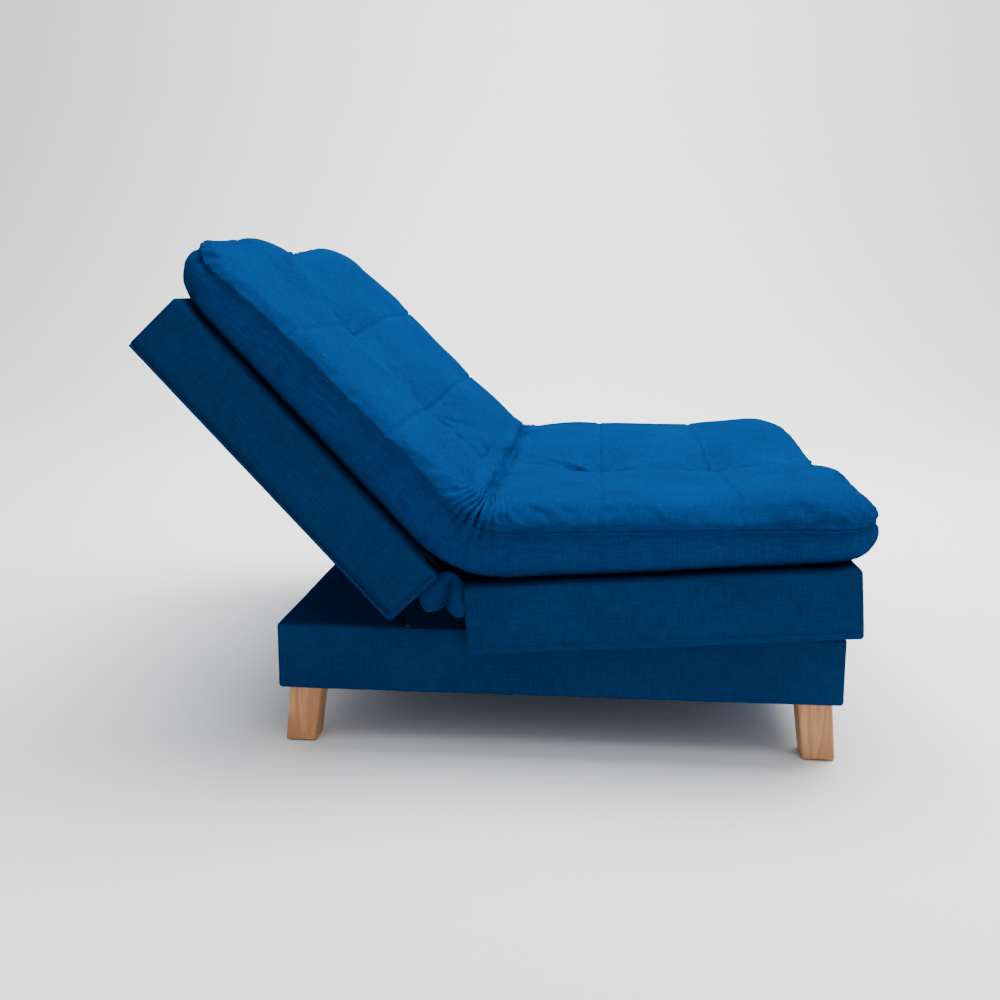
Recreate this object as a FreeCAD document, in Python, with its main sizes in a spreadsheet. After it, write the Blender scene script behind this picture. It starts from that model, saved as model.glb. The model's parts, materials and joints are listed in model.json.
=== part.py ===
"""Futon sofa bed: base on four legs, seat box and back box on two hinge brackets, tufted topper.

Row frame: X across the sofa, the front faces -Y, Z up from the floor.
Two local systems follow the moving boxes. In each, X stays across the sofa, Y runs along the box
(to the rear on the seat, to the top end on the back) and Z goes out of its upholstered face.
"""
import FreeCAD
import Part
import os
import Sketcher

SIZES = {
    # base
    "base_width": 1000, "base_depth": 850, "base_rise": 100, "base_middle": -76,
    "base_cross_spacing": 330,
    # legs
    "leg_rise": 90, "leg_top_width": 52, "leg_bottom_width": 48, "leg_inset": 12, "leg_lean": 8,
    "leg_edge_radius": 5, "glide_radius": 14, "glide_rise": 3,
    "leg_plate_side": 64, "leg_plate_thickness": 3, "leg_bolt_radius": 4,
    "leg_bolt_in_leg": 38, "leg_bolt_in_block": 40, "corner_block_side": 66,
    # boards, rails and covers
    "rail_thickness": 22, "slat_thickness": 12, "slat_width": 70, "slat_count": 6,
    "deck_thickness": 9, "cover_thickness": 2, "dust_thickness": 1, "foam_thickness": 20,
    "board_thickness": 3,
    # seat and back boxes
    "box_overhang": 30, "box_rise": 100, "seat_depth": 570, "back_length": 560,
    "seat_tilt": 4.2, "back_angle": 46.9, "front_rail_depth": 40, "rear_rail_depth": 40,
    "seat_skirt": 34, "back_rail_inset": 36, "piping_radius": 2.5,
    # hinges
    "plate_thickness": 4, "plate_gap": 4, "hub_radius": 18, "pin_radius": 5,
    "pin_head_radius": 9, "pin_head_thickness": 3, "plate_margin": 14,
    "seat_pivot_y": 149.5, "seat_pivot_rise": 45, "seat_pivot_behind": 17.5,
    "seat_pivot_height": 75.5,
    "back_pivot_y": 201.3, "back_pivot_rise": 74, "back_pivot_inside": 10.8,
    "back_pivot_height": 70,
    "arm_length": 110, "arm_width": 26, "seat_arm_height": 38, "back_arm_height": 34,
    "slot_room": 2, "slot_length": 34, "foot_width": 40, "foot_front": 16, "foot_rear": 26,
    "foot_thickness": 3, "screw_radius": 2.5, "arm_screw_inset": 13, "arm_screw_spacing": 39,
    # ratchet
    "ratchet_radius": 30, "tooth_depth": 4, "tooth_step": 10, "tooth_count": 9,
    "tooth_crest_share": 0.75,
    "ratchet_start": 122, "pawl_y": 194, "pawl_rise": 22, "pawl_hub_radius": 7,
    "pawl_pin_radius": 3, "pawl_head_radius": 5, "pawl_nose_angle": 135, "pawl_nose_width": 5,
    "pawl_nose_drop": 1.25, "pawl_root_half": 4.2,
    "spring_wire_radius": 1.2,
    # buffers
    "buffer_radius": 12, "buffer_spacing": 860, "buffer_from_front": 20,
    # topper
    "topper_thickness": 112, "topper_nose": 44, "topper_top_overhang": 50,
    "topper_end_radius": 48,
    "seat_fold_bottom": 28, "seat_fold_top": 72, "back_fold_bottom": 92, "back_fold_top": 134,
    "crease_y": 109, "crease_rise": 158,
    # pleated gussets beside the hinges
    "gusset_thickness": 16, "gusset_seat_low": 36, "gusset_back_low": 14, "gusset_high": 94,
    # clearances
    "running_gap": 0.05, "fit_gap": 0.3, "soft_gap": 0.4,
}
ACROSS = FreeCAD.Vector(1, 0, 0)
NEAR = 1.0
OUT = "parts"

doc = FreeCAD.newDocument("futon_sofa_bed")
sizes = doc.addObject("Spreadsheet::Sheet", "sizes")
nodes = []


def fill_sheet():
    """Put each driving size in a row of the sheet, under its own alias."""
    for row, (alias, number) in enumerate(SIZES.items(), start=1):
        sizes.set(f"A{row}", alias)
        sizes.set(f"B{row}", str(number))
        sizes.setAlias(f"B{row}", alias)
    doc.recompute()


def full(expression):
    """Spell an expression of bare aliases with the sheet's name in front of each."""
    words = []
    word = ""
    for letter in str(expression) + " ":
        if letter.isalnum() or letter in "_.":
            word += letter
            continue
        words.append(f"sizes.{word}" if word in SIZES else word)
        words.append(letter)
        word = ""
    return "".join(words).strip()


def value(expression):
    """Work out an expression of aliases as a number."""
    return float(sizes.evalExpression(full(expression)))


def placement(x, y, z, axis="1; 0; 0", angle="0"):
    """Spell a placement as an expression."""
    return (f"create(<<placement>>; create(<<vector>>; {full(x)}; {full(y)}; {full(z)}); "
            f"create(<<rotation>>; create(<<vector>>; {axis}); {full(angle)}))")


def add_frames():
    """Make the three local systems that the pieces are placed in."""
    base = doc.addObject("Part::LocalCoordinateSystem", "base_frame")
    base.setExpression("Placement", placement(0, "base_middle", 0))
    seat = doc.addObject("Part::LocalCoordinateSystem", "seat_frame")
    seat.setExpression("Placement", " * ".join((
        placement(0, "base_middle + seat_pivot_y", f"{BASE_TOP} + seat_pivot_rise",
                  angle="-seat_tilt"),
        placement(0, "-seat_pivot_behind", "-seat_pivot_height"))))
    back = doc.addObject("Part::LocalCoordinateSystem", "back_frame")
    back.setExpression("Placement", " * ".join((
        placement(0, "base_middle + back_pivot_y", f"{BASE_TOP} + back_pivot_rise",
                  angle="back_angle"),
        placement(0, "-back_pivot_inside", "-back_pivot_height"))))
    doc.recompute()


# Heights and faces that several pieces share.
BASE_TOP = "(leg_rise + base_rise)"
DECK_TOP = f"({BASE_TOP} - cover_thickness)"
RAIL_TOP = f"({DECK_TOP} - deck_thickness)"
RAIL_BOTTOM = "(leg_rise + dust_thickness)"
BASE_SIDE = "(base_width / 2 - cover_thickness)"
BASE_END = "(base_depth / 2 - cover_thickness)"
BOX_HALF = "(base_width / 2 + box_overhang)"
BOX_SIDE = f"({BOX_HALF} - cover_thickness)"
BOX_INNER = f"({BOX_SIDE} - rail_thickness)"
ARM_INNER = f"({BOX_INNER} - plate_thickness)"
FOAM_TOP = "(box_rise - cover_thickness)"
SLAT_TOP = f"({FOAM_TOP} - foam_thickness)"
FRAME_TOP = f"({SLAT_TOP} - slat_thickness)"
SEAT_FRONT = "(seat_depth - cover_thickness)"
BACK_END = "(back_length - cover_thickness)"
BACK_FRAME_BOTTOM = "(cover_thickness + board_thickness)"
PLATE_OUTER = f"({ARM_INNER} - plate_gap)"
PLATE_INNER = f"({PLATE_OUTER} - plate_thickness)"
SLOT_INNER = f"({PLATE_INNER} - pin_head_thickness - slot_room)"
LEG_CENTRE = "(leg_inset + leg_top_width / 2)"
LEG_X = f"(base_width / 2 - {LEG_CENTRE})"
LEG_Y = f"(base_depth / 2 - {LEG_CENTRE})"
SIDES = (("left", -1), ("right", 1))
ENDS = (("front", -1), ("rear", 1))


def keep(feature, name):
    """Label a finished feature as the sub-part of that name."""
    feature.Label = name
    nodes.append(feature)
    return feature


def put(feature, frame, x, y, z, axis="1; 0; 0", angle="0"):
    """Bind a feature's placement to a point of a local system."""
    feature.setExpression("Placement", f"{frame}.Placement * {placement(x, y, z, axis, angle)}")
    return feature


def block(name, frame, low, high):
    """Make a box between two corners given as expressions."""
    box = doc.addObject("Part::Box", name)
    for side, start, end in zip(("Length", "Width", "Height"), low, high):
        box.setExpression(side, full(f"({end}) - ({start})"))
    return put(box, frame, *low)


def rod(name, frame, start, radius, length, axis="0; 0; 1", angle="0"):
    """Make a cylinder from a point, along Z or along a turned axis."""
    cylinder = doc.addObject("Part::Cylinder", name)
    cylinder.setExpression("Radius", full(radius))
    cylinder.setExpression("Height", full(length))
    return put(cylinder, frame, *start, axis, angle)


def cross_rod(name, frame, start, radius, length):
    """Make a cylinder that runs along +X from a point."""
    return rod(name, frame, start, radius, length, "0; 1; 0", "90")


def span(sign, inner, outer):
    """Give the low and high X of a stretch on one side of the sofa."""
    return (inner, outer) if sign > 0 else (f"-({outer})", f"-({inner})")


def joined(name, features):
    """Fuse features that touch into one solid."""
    fuse = doc.addObject("Part::MultiFuse", name)
    fuse.Shapes = features
    fuse.Refine = True
    return fuse


def cut(name, base, tools):
    """Cut tools from a base feature."""
    result = doc.addObject("Part::Cut", name)
    result.Base = base
    result.Tool = tools[0] if len(tools) == 1 else joined(f"{name}_tools", tools)
    return result


def group(name, features):
    """Keep separate solids as one node."""
    compound = doc.addObject("Part::Compound", name)
    compound.Links = features
    return keep(compound, name)


def rounded(name, feature, radius, choose):
    """Round the edges that a test picks."""
    doc.recompute()
    picked = [i for i, edge in enumerate(feature.Shape.Edges, start=1) if choose(edge)]
    fillet = doc.addObject("Part::Fillet", name)
    fillet.Base = feature
    amount = value(radius)
    fillet.Edges = [(i, amount, amount) for i in picked]
    return fillet


def new_body(name):
    """Start a PartDesign body."""
    return doc.addObject("PartDesign::Body", name)


def sketch_on(body, name, role="YZ_Plane"):
    """Attach a sketch to one of the body's own origin planes."""
    sketch = body.newObject("Sketcher::SketchObject", name)
    plane = [item for item in body.Origin.OriginFeatures if item.Role == role][0]
    sketch.AttachmentSupport = [(plane, "")]
    sketch.MapMode = "FlatFace"
    return sketch


def fix_point(sketch, geometry, place, expressions):
    """Tie a sketch point to the origin by two bound distances."""
    for kind, expression in zip(("DistanceX", "DistanceY"), expressions):
        index = sketch.addConstraint(
            Sketcher.Constraint(kind, -1, 1, geometry, place, value(expression)))
        sketch.setExpression(f"Constraints[{index}]", full(expression))


def outline(sketch, points):
    """Draw a closed outline of straight lines, with each corner tied to the sizes."""
    spots = [FreeCAD.Vector(value(a), value(b), 0) for a, b in points]
    count = len(spots)
    first = sketch.GeometryCount
    for i in range(count):
        sketch.addGeometry(Part.LineSegment(spots[i], spots[(i + 1) % count]))
    for i in range(count):
        following = first + (i + 1) % count
        sketch.addConstraint(Sketcher.Constraint("Coincident", first + i, 2, following, 1))
    for i, point in enumerate(points):
        fix_point(sketch, first + i, 1, point)


def disc(sketch, centre, radius):
    """Draw a circle with its centre and radius tied to the sizes."""
    spot = FreeCAD.Vector(value(centre[0]), value(centre[1]), 0)
    index = sketch.addGeometry(Part.Circle(spot, FreeCAD.Vector(0, 0, 1), value(radius)))
    fix_point(sketch, index, 3, centre)
    size = sketch.addConstraint(Sketcher.Constraint("Radius", index, value(radius)))
    sketch.setExpression(f"Constraints[{size}]", full(radius))


def pad(body, sketch, length):
    """Pad a sketch along its normal."""
    feature = body.newObject("PartDesign::Pad", f"{sketch.Name}_pad")
    feature.Profile = sketch
    feature.setExpression("Length", full(length))
    return feature


def bore(body, name, centre, radius):
    """Bore a hole right through a plate in a YZ body."""
    sketch = sketch_on(body, f"{name}_bore")
    disc(sketch, centre, radius)
    pocket = body.newObject("PartDesign::Pocket", f"{name}_pocket")
    pocket.Profile = sketch
    pocket.Type = "ThroughAll"
    pocket.Midplane = True
    return pocket


def add_base_frame():
    """Rails, cross rails and corner blocks of the base."""
    for side, sign in SIDES:
        low, high = span(sign, f"{BASE_SIDE} - rail_thickness", BASE_SIDE)
        keep(block(f"base_side_rail_{side}", "base_frame", (low, f"-{BASE_END}", RAIL_BOTTOM),
                   (high, BASE_END, RAIL_TOP)), f"base_side_rail_{side}")
    inner = f"({BASE_SIDE} - rail_thickness)"
    for end, sign in ENDS:
        low, high = span(sign, f"{BASE_END} - rail_thickness", BASE_END)
        keep(block(f"base_{end}_rail", "base_frame", (f"-{inner}", low, RAIL_BOTTOM),
                   (inner, high, RAIL_TOP)), f"base_{end}_rail")
    reach = f"({BASE_END} - rail_thickness)"
    crossers = []
    for index, sign in enumerate((-1, 1)):
        low, high = span(sign, "base_cross_spacing / 2 - rail_thickness",
                         "base_cross_spacing / 2")
        crossers.append(block(f"cross_rail_{index}", "base_frame",
                              (low, f"-{reach}", RAIL_BOTTOM), (high, reach, RAIL_TOP)))
    group("base_cross_rails", crossers)
    blocks = []
    for index, (x_sign, y_sign) in enumerate(corners()):
        x_low, x_high = span(x_sign, f"{inner} - corner_block_side", inner)
        y_low, y_high = span(y_sign, f"{reach} - corner_block_side", reach)
        raw = block(f"corner_{index}", "base_frame",
                    (x_low, y_low, "leg_rise + leg_plate_thickness"), (x_high, y_high, RAIL_TOP))
        blocks.append(cut(f"corner_block_{index}", raw, [leg_bolt_hole(f"block_{index}",
                                                                       x_sign, y_sign)]))
    group("base_corner_blocks", blocks)


def corners():
    """Give the signs of X and Y at the four corners."""
    return [(x_sign, y_sign) for _, y_sign in ENDS for _, x_sign in SIDES]


def leg_bolt_hole(name, x_sign, y_sign):
    """Make the tool that bores a leg bolt's hole."""
    return rod(f"{name}_bolt_hole", "base_frame",
               (f"{x_sign} * {LEG_X}", f"{y_sign} * {LEG_Y}",
                "leg_rise - leg_bolt_in_leg - fit_gap"), "leg_bolt_radius + running_gap",
               "leg_bolt_in_leg + leg_bolt_in_block + 2 * fit_gap")


def add_base_top():
    """Deck board, fabric cover and dust sheet of the base."""
    holes = [[bracket_screw_hole(f"{piece}_{index}", spot)
              for index, spot in enumerate(bracket_screws())] for piece in ("deck", "cover")]
    deck = block("deck_board", "base_frame", (f"-{BASE_SIDE}", f"-{BASE_END}", RAIL_TOP),
                 (BASE_SIDE, BASE_END, DECK_TOP))
    keep(cut("base_deck", deck, holes[0]), "base_deck")
    outer = block("cover_outer", "base_frame", ("-base_width / 2", "-base_depth / 2", "leg_rise"),
                  ("base_width / 2", "base_depth / 2", BASE_TOP))
    inner = block("cover_inner", "base_frame",
                  (f"-{BASE_SIDE}", f"-{BASE_END}", "leg_rise - fit_gap"),
                  (BASE_SIDE, BASE_END, DECK_TOP))
    keep(cut("base_cover", outer, [inner] + holes[1]), "base_cover")
    sheet = block("dust_sheet", "base_frame", (f"-{BASE_SIDE}", f"-{BASE_END}", "leg_rise"),
                  (BASE_SIDE, BASE_END, RAIL_BOTTOM))
    windows = []
    for index, signs in enumerate(corners()):
        low, high = plate_low(*signs), plate_high(*signs)
        windows.append(block(f"window_{index}", "base_frame",
                             [f"({place}) - fit_gap" for place in low],
                             [f"({place}) + fit_gap" for place in high]))
    keep(cut("base_dust_cover", sheet, windows), "base_dust_cover")


def add_legs():
    """Four leaning legs with their plates, bolts and glides."""
    plates, bolts, glides = [], [], []
    for (end, y_sign), (side, x_sign) in [(e, s) for e in ENDS for s in SIDES]:
        tag = f"{end}_{side}"
        x, y = f"{x_sign} * {LEG_X}", f"{y_sign} * {LEG_Y}"
        keep(leg(tag, x_sign, y_sign), f"leg_{tag}")
        plate = block(f"plate_{tag}_blank", "base_frame",
                      plate_low(x_sign, y_sign), plate_high(x_sign, y_sign))
        plates.append(cut(f"plate_{tag}", plate,
                          [leg_bolt_hole(f"plate_{tag}", x_sign, y_sign)]))
        bolts.append(rod(f"bolt_{tag}", "base_frame", (x, y, "leg_rise - leg_bolt_in_leg"),
                         "leg_bolt_radius", "leg_bolt_in_leg + leg_bolt_in_block"))
        lean_x, lean_y = f"{x} + {x_sign} * leg_lean", f"{y} + {y_sign} * leg_lean"
        glides.append(rod(f"glide_{tag}", "base_frame", (lean_x, lean_y, 0), "glide_radius",
                          "glide_rise"))
    group("leg_plates", plates)
    group("leg_bolts", bolts)
    group("leg_glides", glides)


def plate_low(x_sign, y_sign):
    """Give the low corner of a leg plate, inside the rails."""
    inner_x = f"({BASE_SIDE} - rail_thickness)"
    inner_y = f"({BASE_END} - rail_thickness)"
    x = span(x_sign, f"{inner_x} - leg_plate_side", inner_x)[0]
    y = span(y_sign, f"{inner_y} - leg_plate_side", inner_y)[0]
    return (x, y, "leg_rise")


def plate_high(x_sign, y_sign):
    """Give the high corner of a leg plate, inside the rails."""
    inner_x = f"({BASE_SIDE} - rail_thickness)"
    inner_y = f"({BASE_END} - rail_thickness)"
    x = span(x_sign, f"{inner_x} - leg_plate_side", inner_x)[1]
    y = span(y_sign, f"{inner_y} - leg_plate_side", inner_y)[1]
    return (x, y, "leg_rise + leg_plate_thickness")


def leg(tag, x_sign, y_sign):
    """One leg: a block that leans outward, with rounded upright edges and a bolt hole."""
    wedge = doc.addObject("Part::Wedge", f"leg_{tag}_blank")
    half_low, half_high = "leg_bottom_width / 2", "leg_top_width / 2"
    wedge.setExpression("Ymin", full("0"))
    wedge.setExpression("Ymax", full("leg_rise - glide_rise"))
    # The wedge tapers along its own Y, which is turned to point up; its Z then points to -Y.
    shift_x, shift_z = f"{x_sign} * leg_lean", f"{-y_sign} * leg_lean"
    wedge.setExpression("Xmin", full(f"{shift_x} - {half_low}"))
    wedge.setExpression("Xmax", full(f"{shift_x} + {half_low}"))
    wedge.setExpression("Zmin", full(f"{shift_z} - {half_low}"))
    wedge.setExpression("Zmax", full(f"{shift_z} + {half_low}"))
    wedge.setExpression("X2min", full(f"-{half_high}"))
    wedge.setExpression("X2max", full(half_high))
    wedge.setExpression("Z2min", full(f"-{half_high}"))
    wedge.setExpression("Z2max", full(half_high))
    put(wedge, "base_frame", f"{x_sign} * {LEG_X}", f"{y_sign} * {LEG_Y}", "glide_rise",
        "1; 0; 0", "90")
    soft = rounded(f"leg_{tag}_rounded", wedge, "leg_edge_radius",
                   lambda edge: abs(edge.BoundBox.ZLength) > value("leg_rise") / 2)
    return cut(f"leg_{tag}_bored", soft, [leg_bolt_hole(f"leg_{tag}", x_sign, y_sign)])


def bracket_screws():
    """Give the screw places on the two bracket feet."""
    x = f"({PLATE_OUTER} - foot_width / 2 - plate_thickness / 2)"
    front, rear = "(seat_pivot_y + foot_front)", "(back_pivot_y + foot_rear / 2)"
    return [(f"{sign} * {x}", y) for _, sign in SIDES for y in (front, rear)]


def bracket_screw_hole(name, spot):
    """Make the tool that bores a bracket screw's hole through foot, cover and deck."""
    return rod(f"{name}_screw_hole", "base_frame", (*spot, f"{RAIL_TOP} - fit_gap"),
               "screw_radius + running_gap",
               "deck_thickness + cover_thickness + foot_thickness + 2 * fit_gap")


def add_brackets():
    """Hinge brackets on the base, their screws, pins and washers."""
    for index, (side, sign) in enumerate(SIDES):
        upright = bracket_upright(side, sign)
        low, high = span(sign, f"{PLATE_OUTER} - foot_width", PLATE_OUTER)
        foot = block(f"foot_{side}", "base_frame", (low, "seat_pivot_y", BASE_TOP),
                     (high, "back_pivot_y + foot_rear", f"{BASE_TOP} + foot_thickness"))
        whole = joined(f"bracket_{side}_whole", [upright, foot])
        holes = [bracket_screw_hole(f"foot_{side}_{number}", spot)
                 for number, spot in enumerate(bracket_screws()[2 * index:2 * index + 2])]
        keep(cut(f"bracket_{side}", whole, holes), f"hinge_bracket_{side}")
    screws = [rod(f"bracket_screw_{number}", "base_frame", (*spot, RAIL_TOP), "screw_radius",
                  "deck_thickness + cover_thickness + foot_thickness")
              for number, spot in enumerate(bracket_screws())]
    group("bracket_screws", screws)


def bracket_upright(side, sign):
    """The upright plate of a bracket, with its three bores."""
    body = new_body(f"upright_{side}")
    sketch = sketch_on(body, f"upright_{side}_outline")
    front, rear = "(seat_pivot_y - plate_margin)", "(back_pivot_y + plate_margin)"
    seat_top = f"{BASE_TOP} + seat_pivot_rise + plate_margin"
    back_top = f"{BASE_TOP} + back_pivot_rise + plate_margin"
    outline(sketch, [(front, BASE_TOP), (rear, BASE_TOP), (rear, back_top),
                     ("back_pivot_y - plate_margin", back_top),
                     ("seat_pivot_y", seat_top), (front, seat_top)])
    pad(body, sketch, "plate_thickness")
    bores = (("seat_pin", SEAT_PIVOT, "pin_radius"), ("back_pin", BACK_PIVOT, "pin_radius"),
             ("pawl_pin", PAWL_PIVOT, "pawl_pin_radius"))
    for name, centre, radius in bores:
        bore(body, f"{name}_{side}", centre, f"{radius} + running_gap")
    return put(body, "base_frame", span(sign, PLATE_INNER, PLATE_OUTER)[0], 0, 0)


SEAT_PIVOT = ("seat_pivot_y", f"{BASE_TOP} + seat_pivot_rise")
BACK_PIVOT = ("back_pivot_y", f"{BASE_TOP} + back_pivot_rise")
PAWL_PIVOT = ("pawl_y", f"{BASE_TOP} + pawl_rise")


def add_pins():
    """Headed pins through each bracket, and the washers that space the arms."""
    pins = {"seat_pivot_pins": (SEAT_PIVOT, "pin_radius", "pin_head_radius"),
            "back_pivot_pins": (BACK_PIVOT, "pin_radius", "pin_head_radius"),
            "pawl_pins": (PAWL_PIVOT, "pawl_pin_radius", "pawl_head_radius")}
    washers = []
    for name, (centre, radius, head) in pins.items():
        both = []
        for side, sign in SIDES:
            start = span(sign, f"{PLATE_INNER} - pin_head_thickness", PLATE_INNER)[0]
            cap = cross_rod(f"{name}_{side}_head", "base_frame", (start, *centre), head,
                            "pin_head_thickness")
            shank_end = f"{BOX_INNER} - fit_gap"
            start = span(sign, PLATE_INNER, shank_end)[0]
            shank = cross_rod(f"{name}_{side}_shank", "base_frame", (start, *centre), radius,
                              f"({shank_end}) - {PLATE_INNER}")
            both.append(joined(f"{name}_{side}", [cap, shank]))
            if name != "pawl_pins":
                washers.append(washer(f"{name}_{side}_washer", sign, centre))
        group(name, both)
    group("pivot_washers", washers)


def washer(name, sign, centre):
    """A ring that fills the gap between a bracket and an arm."""
    start = span(sign, f"{PLATE_OUTER}", f"{ARM_INNER} - fit_gap")[0]
    thickness = "plate_gap - fit_gap"
    ring = cross_rod(f"{name}_ring", "base_frame", (start, *centre), "pin_head_radius", thickness)
    hole = cross_rod(f"{name}_hole", "base_frame", (start, *centre),
                     "pin_radius + running_gap", thickness)
    return cut(name, ring, [hole])


def add_pawls():
    """Pawls that drop towards the ratchets on the back arms, and their springs."""
    springs = []
    for side, sign in SIDES:
        body = new_body(f"pawl_{side}_plate")
        reach = "(ratchet_radius + fit_gap + soft_gap)"
        nose_y = f"(back_pivot_y - {reach} * cos(180 - pawl_nose_angle))"
        nose_z = f"({BASE_TOP} + back_pivot_rise - {reach} * sin(180 - pawl_nose_angle))"
        sketch = sketch_on(body, f"pawl_{side}_hub")
        disc(sketch, PAWL_PIVOT, "pawl_hub_radius")
        pad(body, sketch, "plate_thickness")
        lever = sketch_on(body, f"pawl_{side}_lever")
        outline(lever, [("pawl_y + pawl_root_half", PAWL_PIVOT[1]),
                        (nose_y, nose_z),
                        (f"{nose_y} - pawl_nose_width", f"{nose_z} - pawl_nose_drop"),
                        ("pawl_y - pawl_root_half", PAWL_PIVOT[1])])
        pad(body, lever, "plate_thickness")
        bore(body, f"pawl_{side}", PAWL_PIVOT, "pawl_pin_radius + running_gap")
        low = span(sign, f"{ARM_INNER}", f"{BOX_INNER} - fit_gap")[0]
        keep(put(body, "base_frame", low, 0, 0), f"pawl_{side}")
        spring = doc.addObject("Part::Torus", f"spring_{side}")
        spring.setExpression("Radius1", full("pawl_pin_radius + spring_wire_radius + fit_gap"))
        spring.setExpression("Radius2", full("spring_wire_radius"))
        middle = f"{sign} * ({PLATE_OUTER} + plate_gap / 2)"
        springs.append(put(spring, "base_frame", middle, *PAWL_PIVOT, "0; 1; 0", "90"))
    group("pawl_springs", springs)


def add_buffers():
    """Two rubber buffers that the seat box rests on."""
    buffers = []
    for index, (_, sign) in enumerate(SIDES):
        y = "(-base_depth / 2 + buffer_from_front)"
        # The seat rail's underside slopes, so the buffer stops below its lowest point there.
        rise = (f"(seat_pivot_rise - seat_pivot_height / cos(seat_tilt) + "
                f"(seat_pivot_y - {y} - buffer_radius) * tan(seat_tilt) - fit_gap)")
        buffers.append(rod(f"buffer_{index}", "base_frame",
                           (f"{sign} * buffer_spacing / 2", y, BASE_TOP), "buffer_radius", rise))
    group("seat_buffers", buffers)


def add_seat():
    """Seat box: rails, slats, foam, cover and hinge arms."""
    for side, sign in SIDES:
        low, high = span(sign, BOX_INNER, BOX_SIDE)
        keep(block(f"seat_side_rail_{side}", "seat_frame", (low, f"-{SEAT_FRONT}", 0),
                   (high, "-cover_thickness", FRAME_TOP)), f"seat_side_rail_{side}")
    keep(block("seat_front_rail", "seat_frame", (f"-{BOX_INNER}", f"-{SEAT_FRONT}", 0),
               (BOX_INNER, f"-{SEAT_FRONT} + front_rail_depth", FRAME_TOP)), "seat_front_rail")
    keep(block("seat_rear_rail", "seat_frame",
               (f"-{ARM_INNER}", "-cover_thickness - rear_rail_depth", "seat_skirt + fit_gap"),
               (ARM_INNER, "-cover_thickness", FRAME_TOP)), "seat_rear_rail")
    add_slats("seat", "seat_frame", f"-{SEAT_FRONT}", "-cover_thickness")
    keep(block("seat_foam", "seat_frame", (f"-{BOX_SIDE}", f"-{SEAT_FRONT}", SLAT_TOP),
               (BOX_SIDE, "-cover_thickness", FOAM_TOP)), "seat_foam")
    outer = block("seat_cover_outer", "seat_frame", (f"-{BOX_HALF}", "-seat_depth", 0),
                  (BOX_HALF, 0, "box_rise"))
    inner = block("seat_cover_inner", "seat_frame", (f"-{BOX_SIDE}", f"-{SEAT_FRONT}", "-fit_gap"),
                  (BOX_SIDE, "-cover_thickness", FOAM_TOP))
    skirt = block("seat_cover_skirt", "seat_frame",
                  (f"-{BOX_INNER}", "-cover_thickness - fit_gap", "-fit_gap"),
                  (BOX_INNER, "fit_gap", "seat_skirt"))
    slots = []
    for side, sign in SIDES:
        low, high = span(sign, f"{ARM_INNER} - fit_gap", BOX_INNER)
        slots.append(block(f"seat_slot_{side}", "seat_frame",
                           (low, "-cover_thickness - fit_gap", 0), (high, "fit_gap", FOAM_TOP)))
    keep(cut("seat_cover", outer, [inner, skirt] + slots), "seat_cover")
    add_arms("seat", ("seat_pivot_behind", "seat_pivot_height"), "seat_arm_height", -1)


def add_slats(box, frame, start, end):
    """Evenly spaced slats across a box."""
    slats = []
    step = f"(({end}) - ({start}) - slat_width) / (slat_count - 1)"
    for index in range(SIZES["slat_count"]):
        low = f"({start}) + {index} * {step}"
        slats.append(block(f"{box}_slat_{index}", frame, (f"-{BOX_SIDE}", low, FRAME_TOP),
                           (BOX_SIDE, f"{low} + slat_width", SLAT_TOP)))
    group(f"{box}_slats", slats)


def add_arms(box, pivot, height, direction):
    """The two hinge arms of a box, and the screws that hold them to its side rails."""
    screws = []
    for side, sign in SIDES:
        body = new_body(f"{box}_arm_{side}")
        sketch = sketch_on(body, f"{box}_arm_{side}_strip")
        far = f"{pivot[0]} + {direction} * arm_length"
        outline(sketch, [(pivot[0], height), (far, height), (far, f"{height} + arm_width"),
                         (pivot[0], f"{height} + arm_width")])
        pad(body, sketch, "plate_thickness")
        hub = sketch_on(body, f"{box}_arm_{side}_hub")
        disc(hub, pivot, "hub_radius")
        pad(body, hub, "plate_thickness")
        if box == "back":
            add_teeth(body, side, pivot)
        bore(body, f"{box}_arm_{side}", pivot, "pin_radius + running_gap")
        for number in (0, 1):
            reach = f"(arm_length - arm_screw_inset - {number} * arm_screw_spacing)"
            spot = (f"{pivot[0]} + {direction} * {reach}", f"{height} + arm_width / 2")
            bore(body, f"{box}_arm_{side}_{number}", spot, "screw_radius + running_gap")
            inner = span(sign, ARM_INNER, BOX_INNER)[0]
            screws.append(cross_rod(f"{box}_screw_{side}_{number}", f"{box}_frame",
                                    (inner, *spot), "screw_radius", "plate_thickness"))
        inner = span(sign, ARM_INNER, BOX_INNER)[0]
        keep(put(body, f"{box}_frame", inner, 0, 0), f"{box}_hinge_arm_{side}")
    group(f"{box}_arm_screws", screws)


def add_teeth(body, side, pivot):
    """A toothed sector round the back arm's pivot."""
    sketch = sketch_on(body, f"ratchet_{side}")
    points = []
    for tooth in range(SIZES["tooth_count"]):
        for part, radius in ((0, "ratchet_radius"), ("tooth_crest_share", "ratchet_radius"),
                             (1, "(ratchet_radius - tooth_depth)")):
            angle = f"(ratchet_start + ({tooth} + {part}) * tooth_step)"
            points.append((f"{pivot[0]} + {radius} * cos({angle})",
                           f"{pivot[1]} + {radius} * sin({angle})"))
    points.append(pivot)
    outline(sketch, points)
    pad(body, sketch, "plate_thickness")


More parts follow.
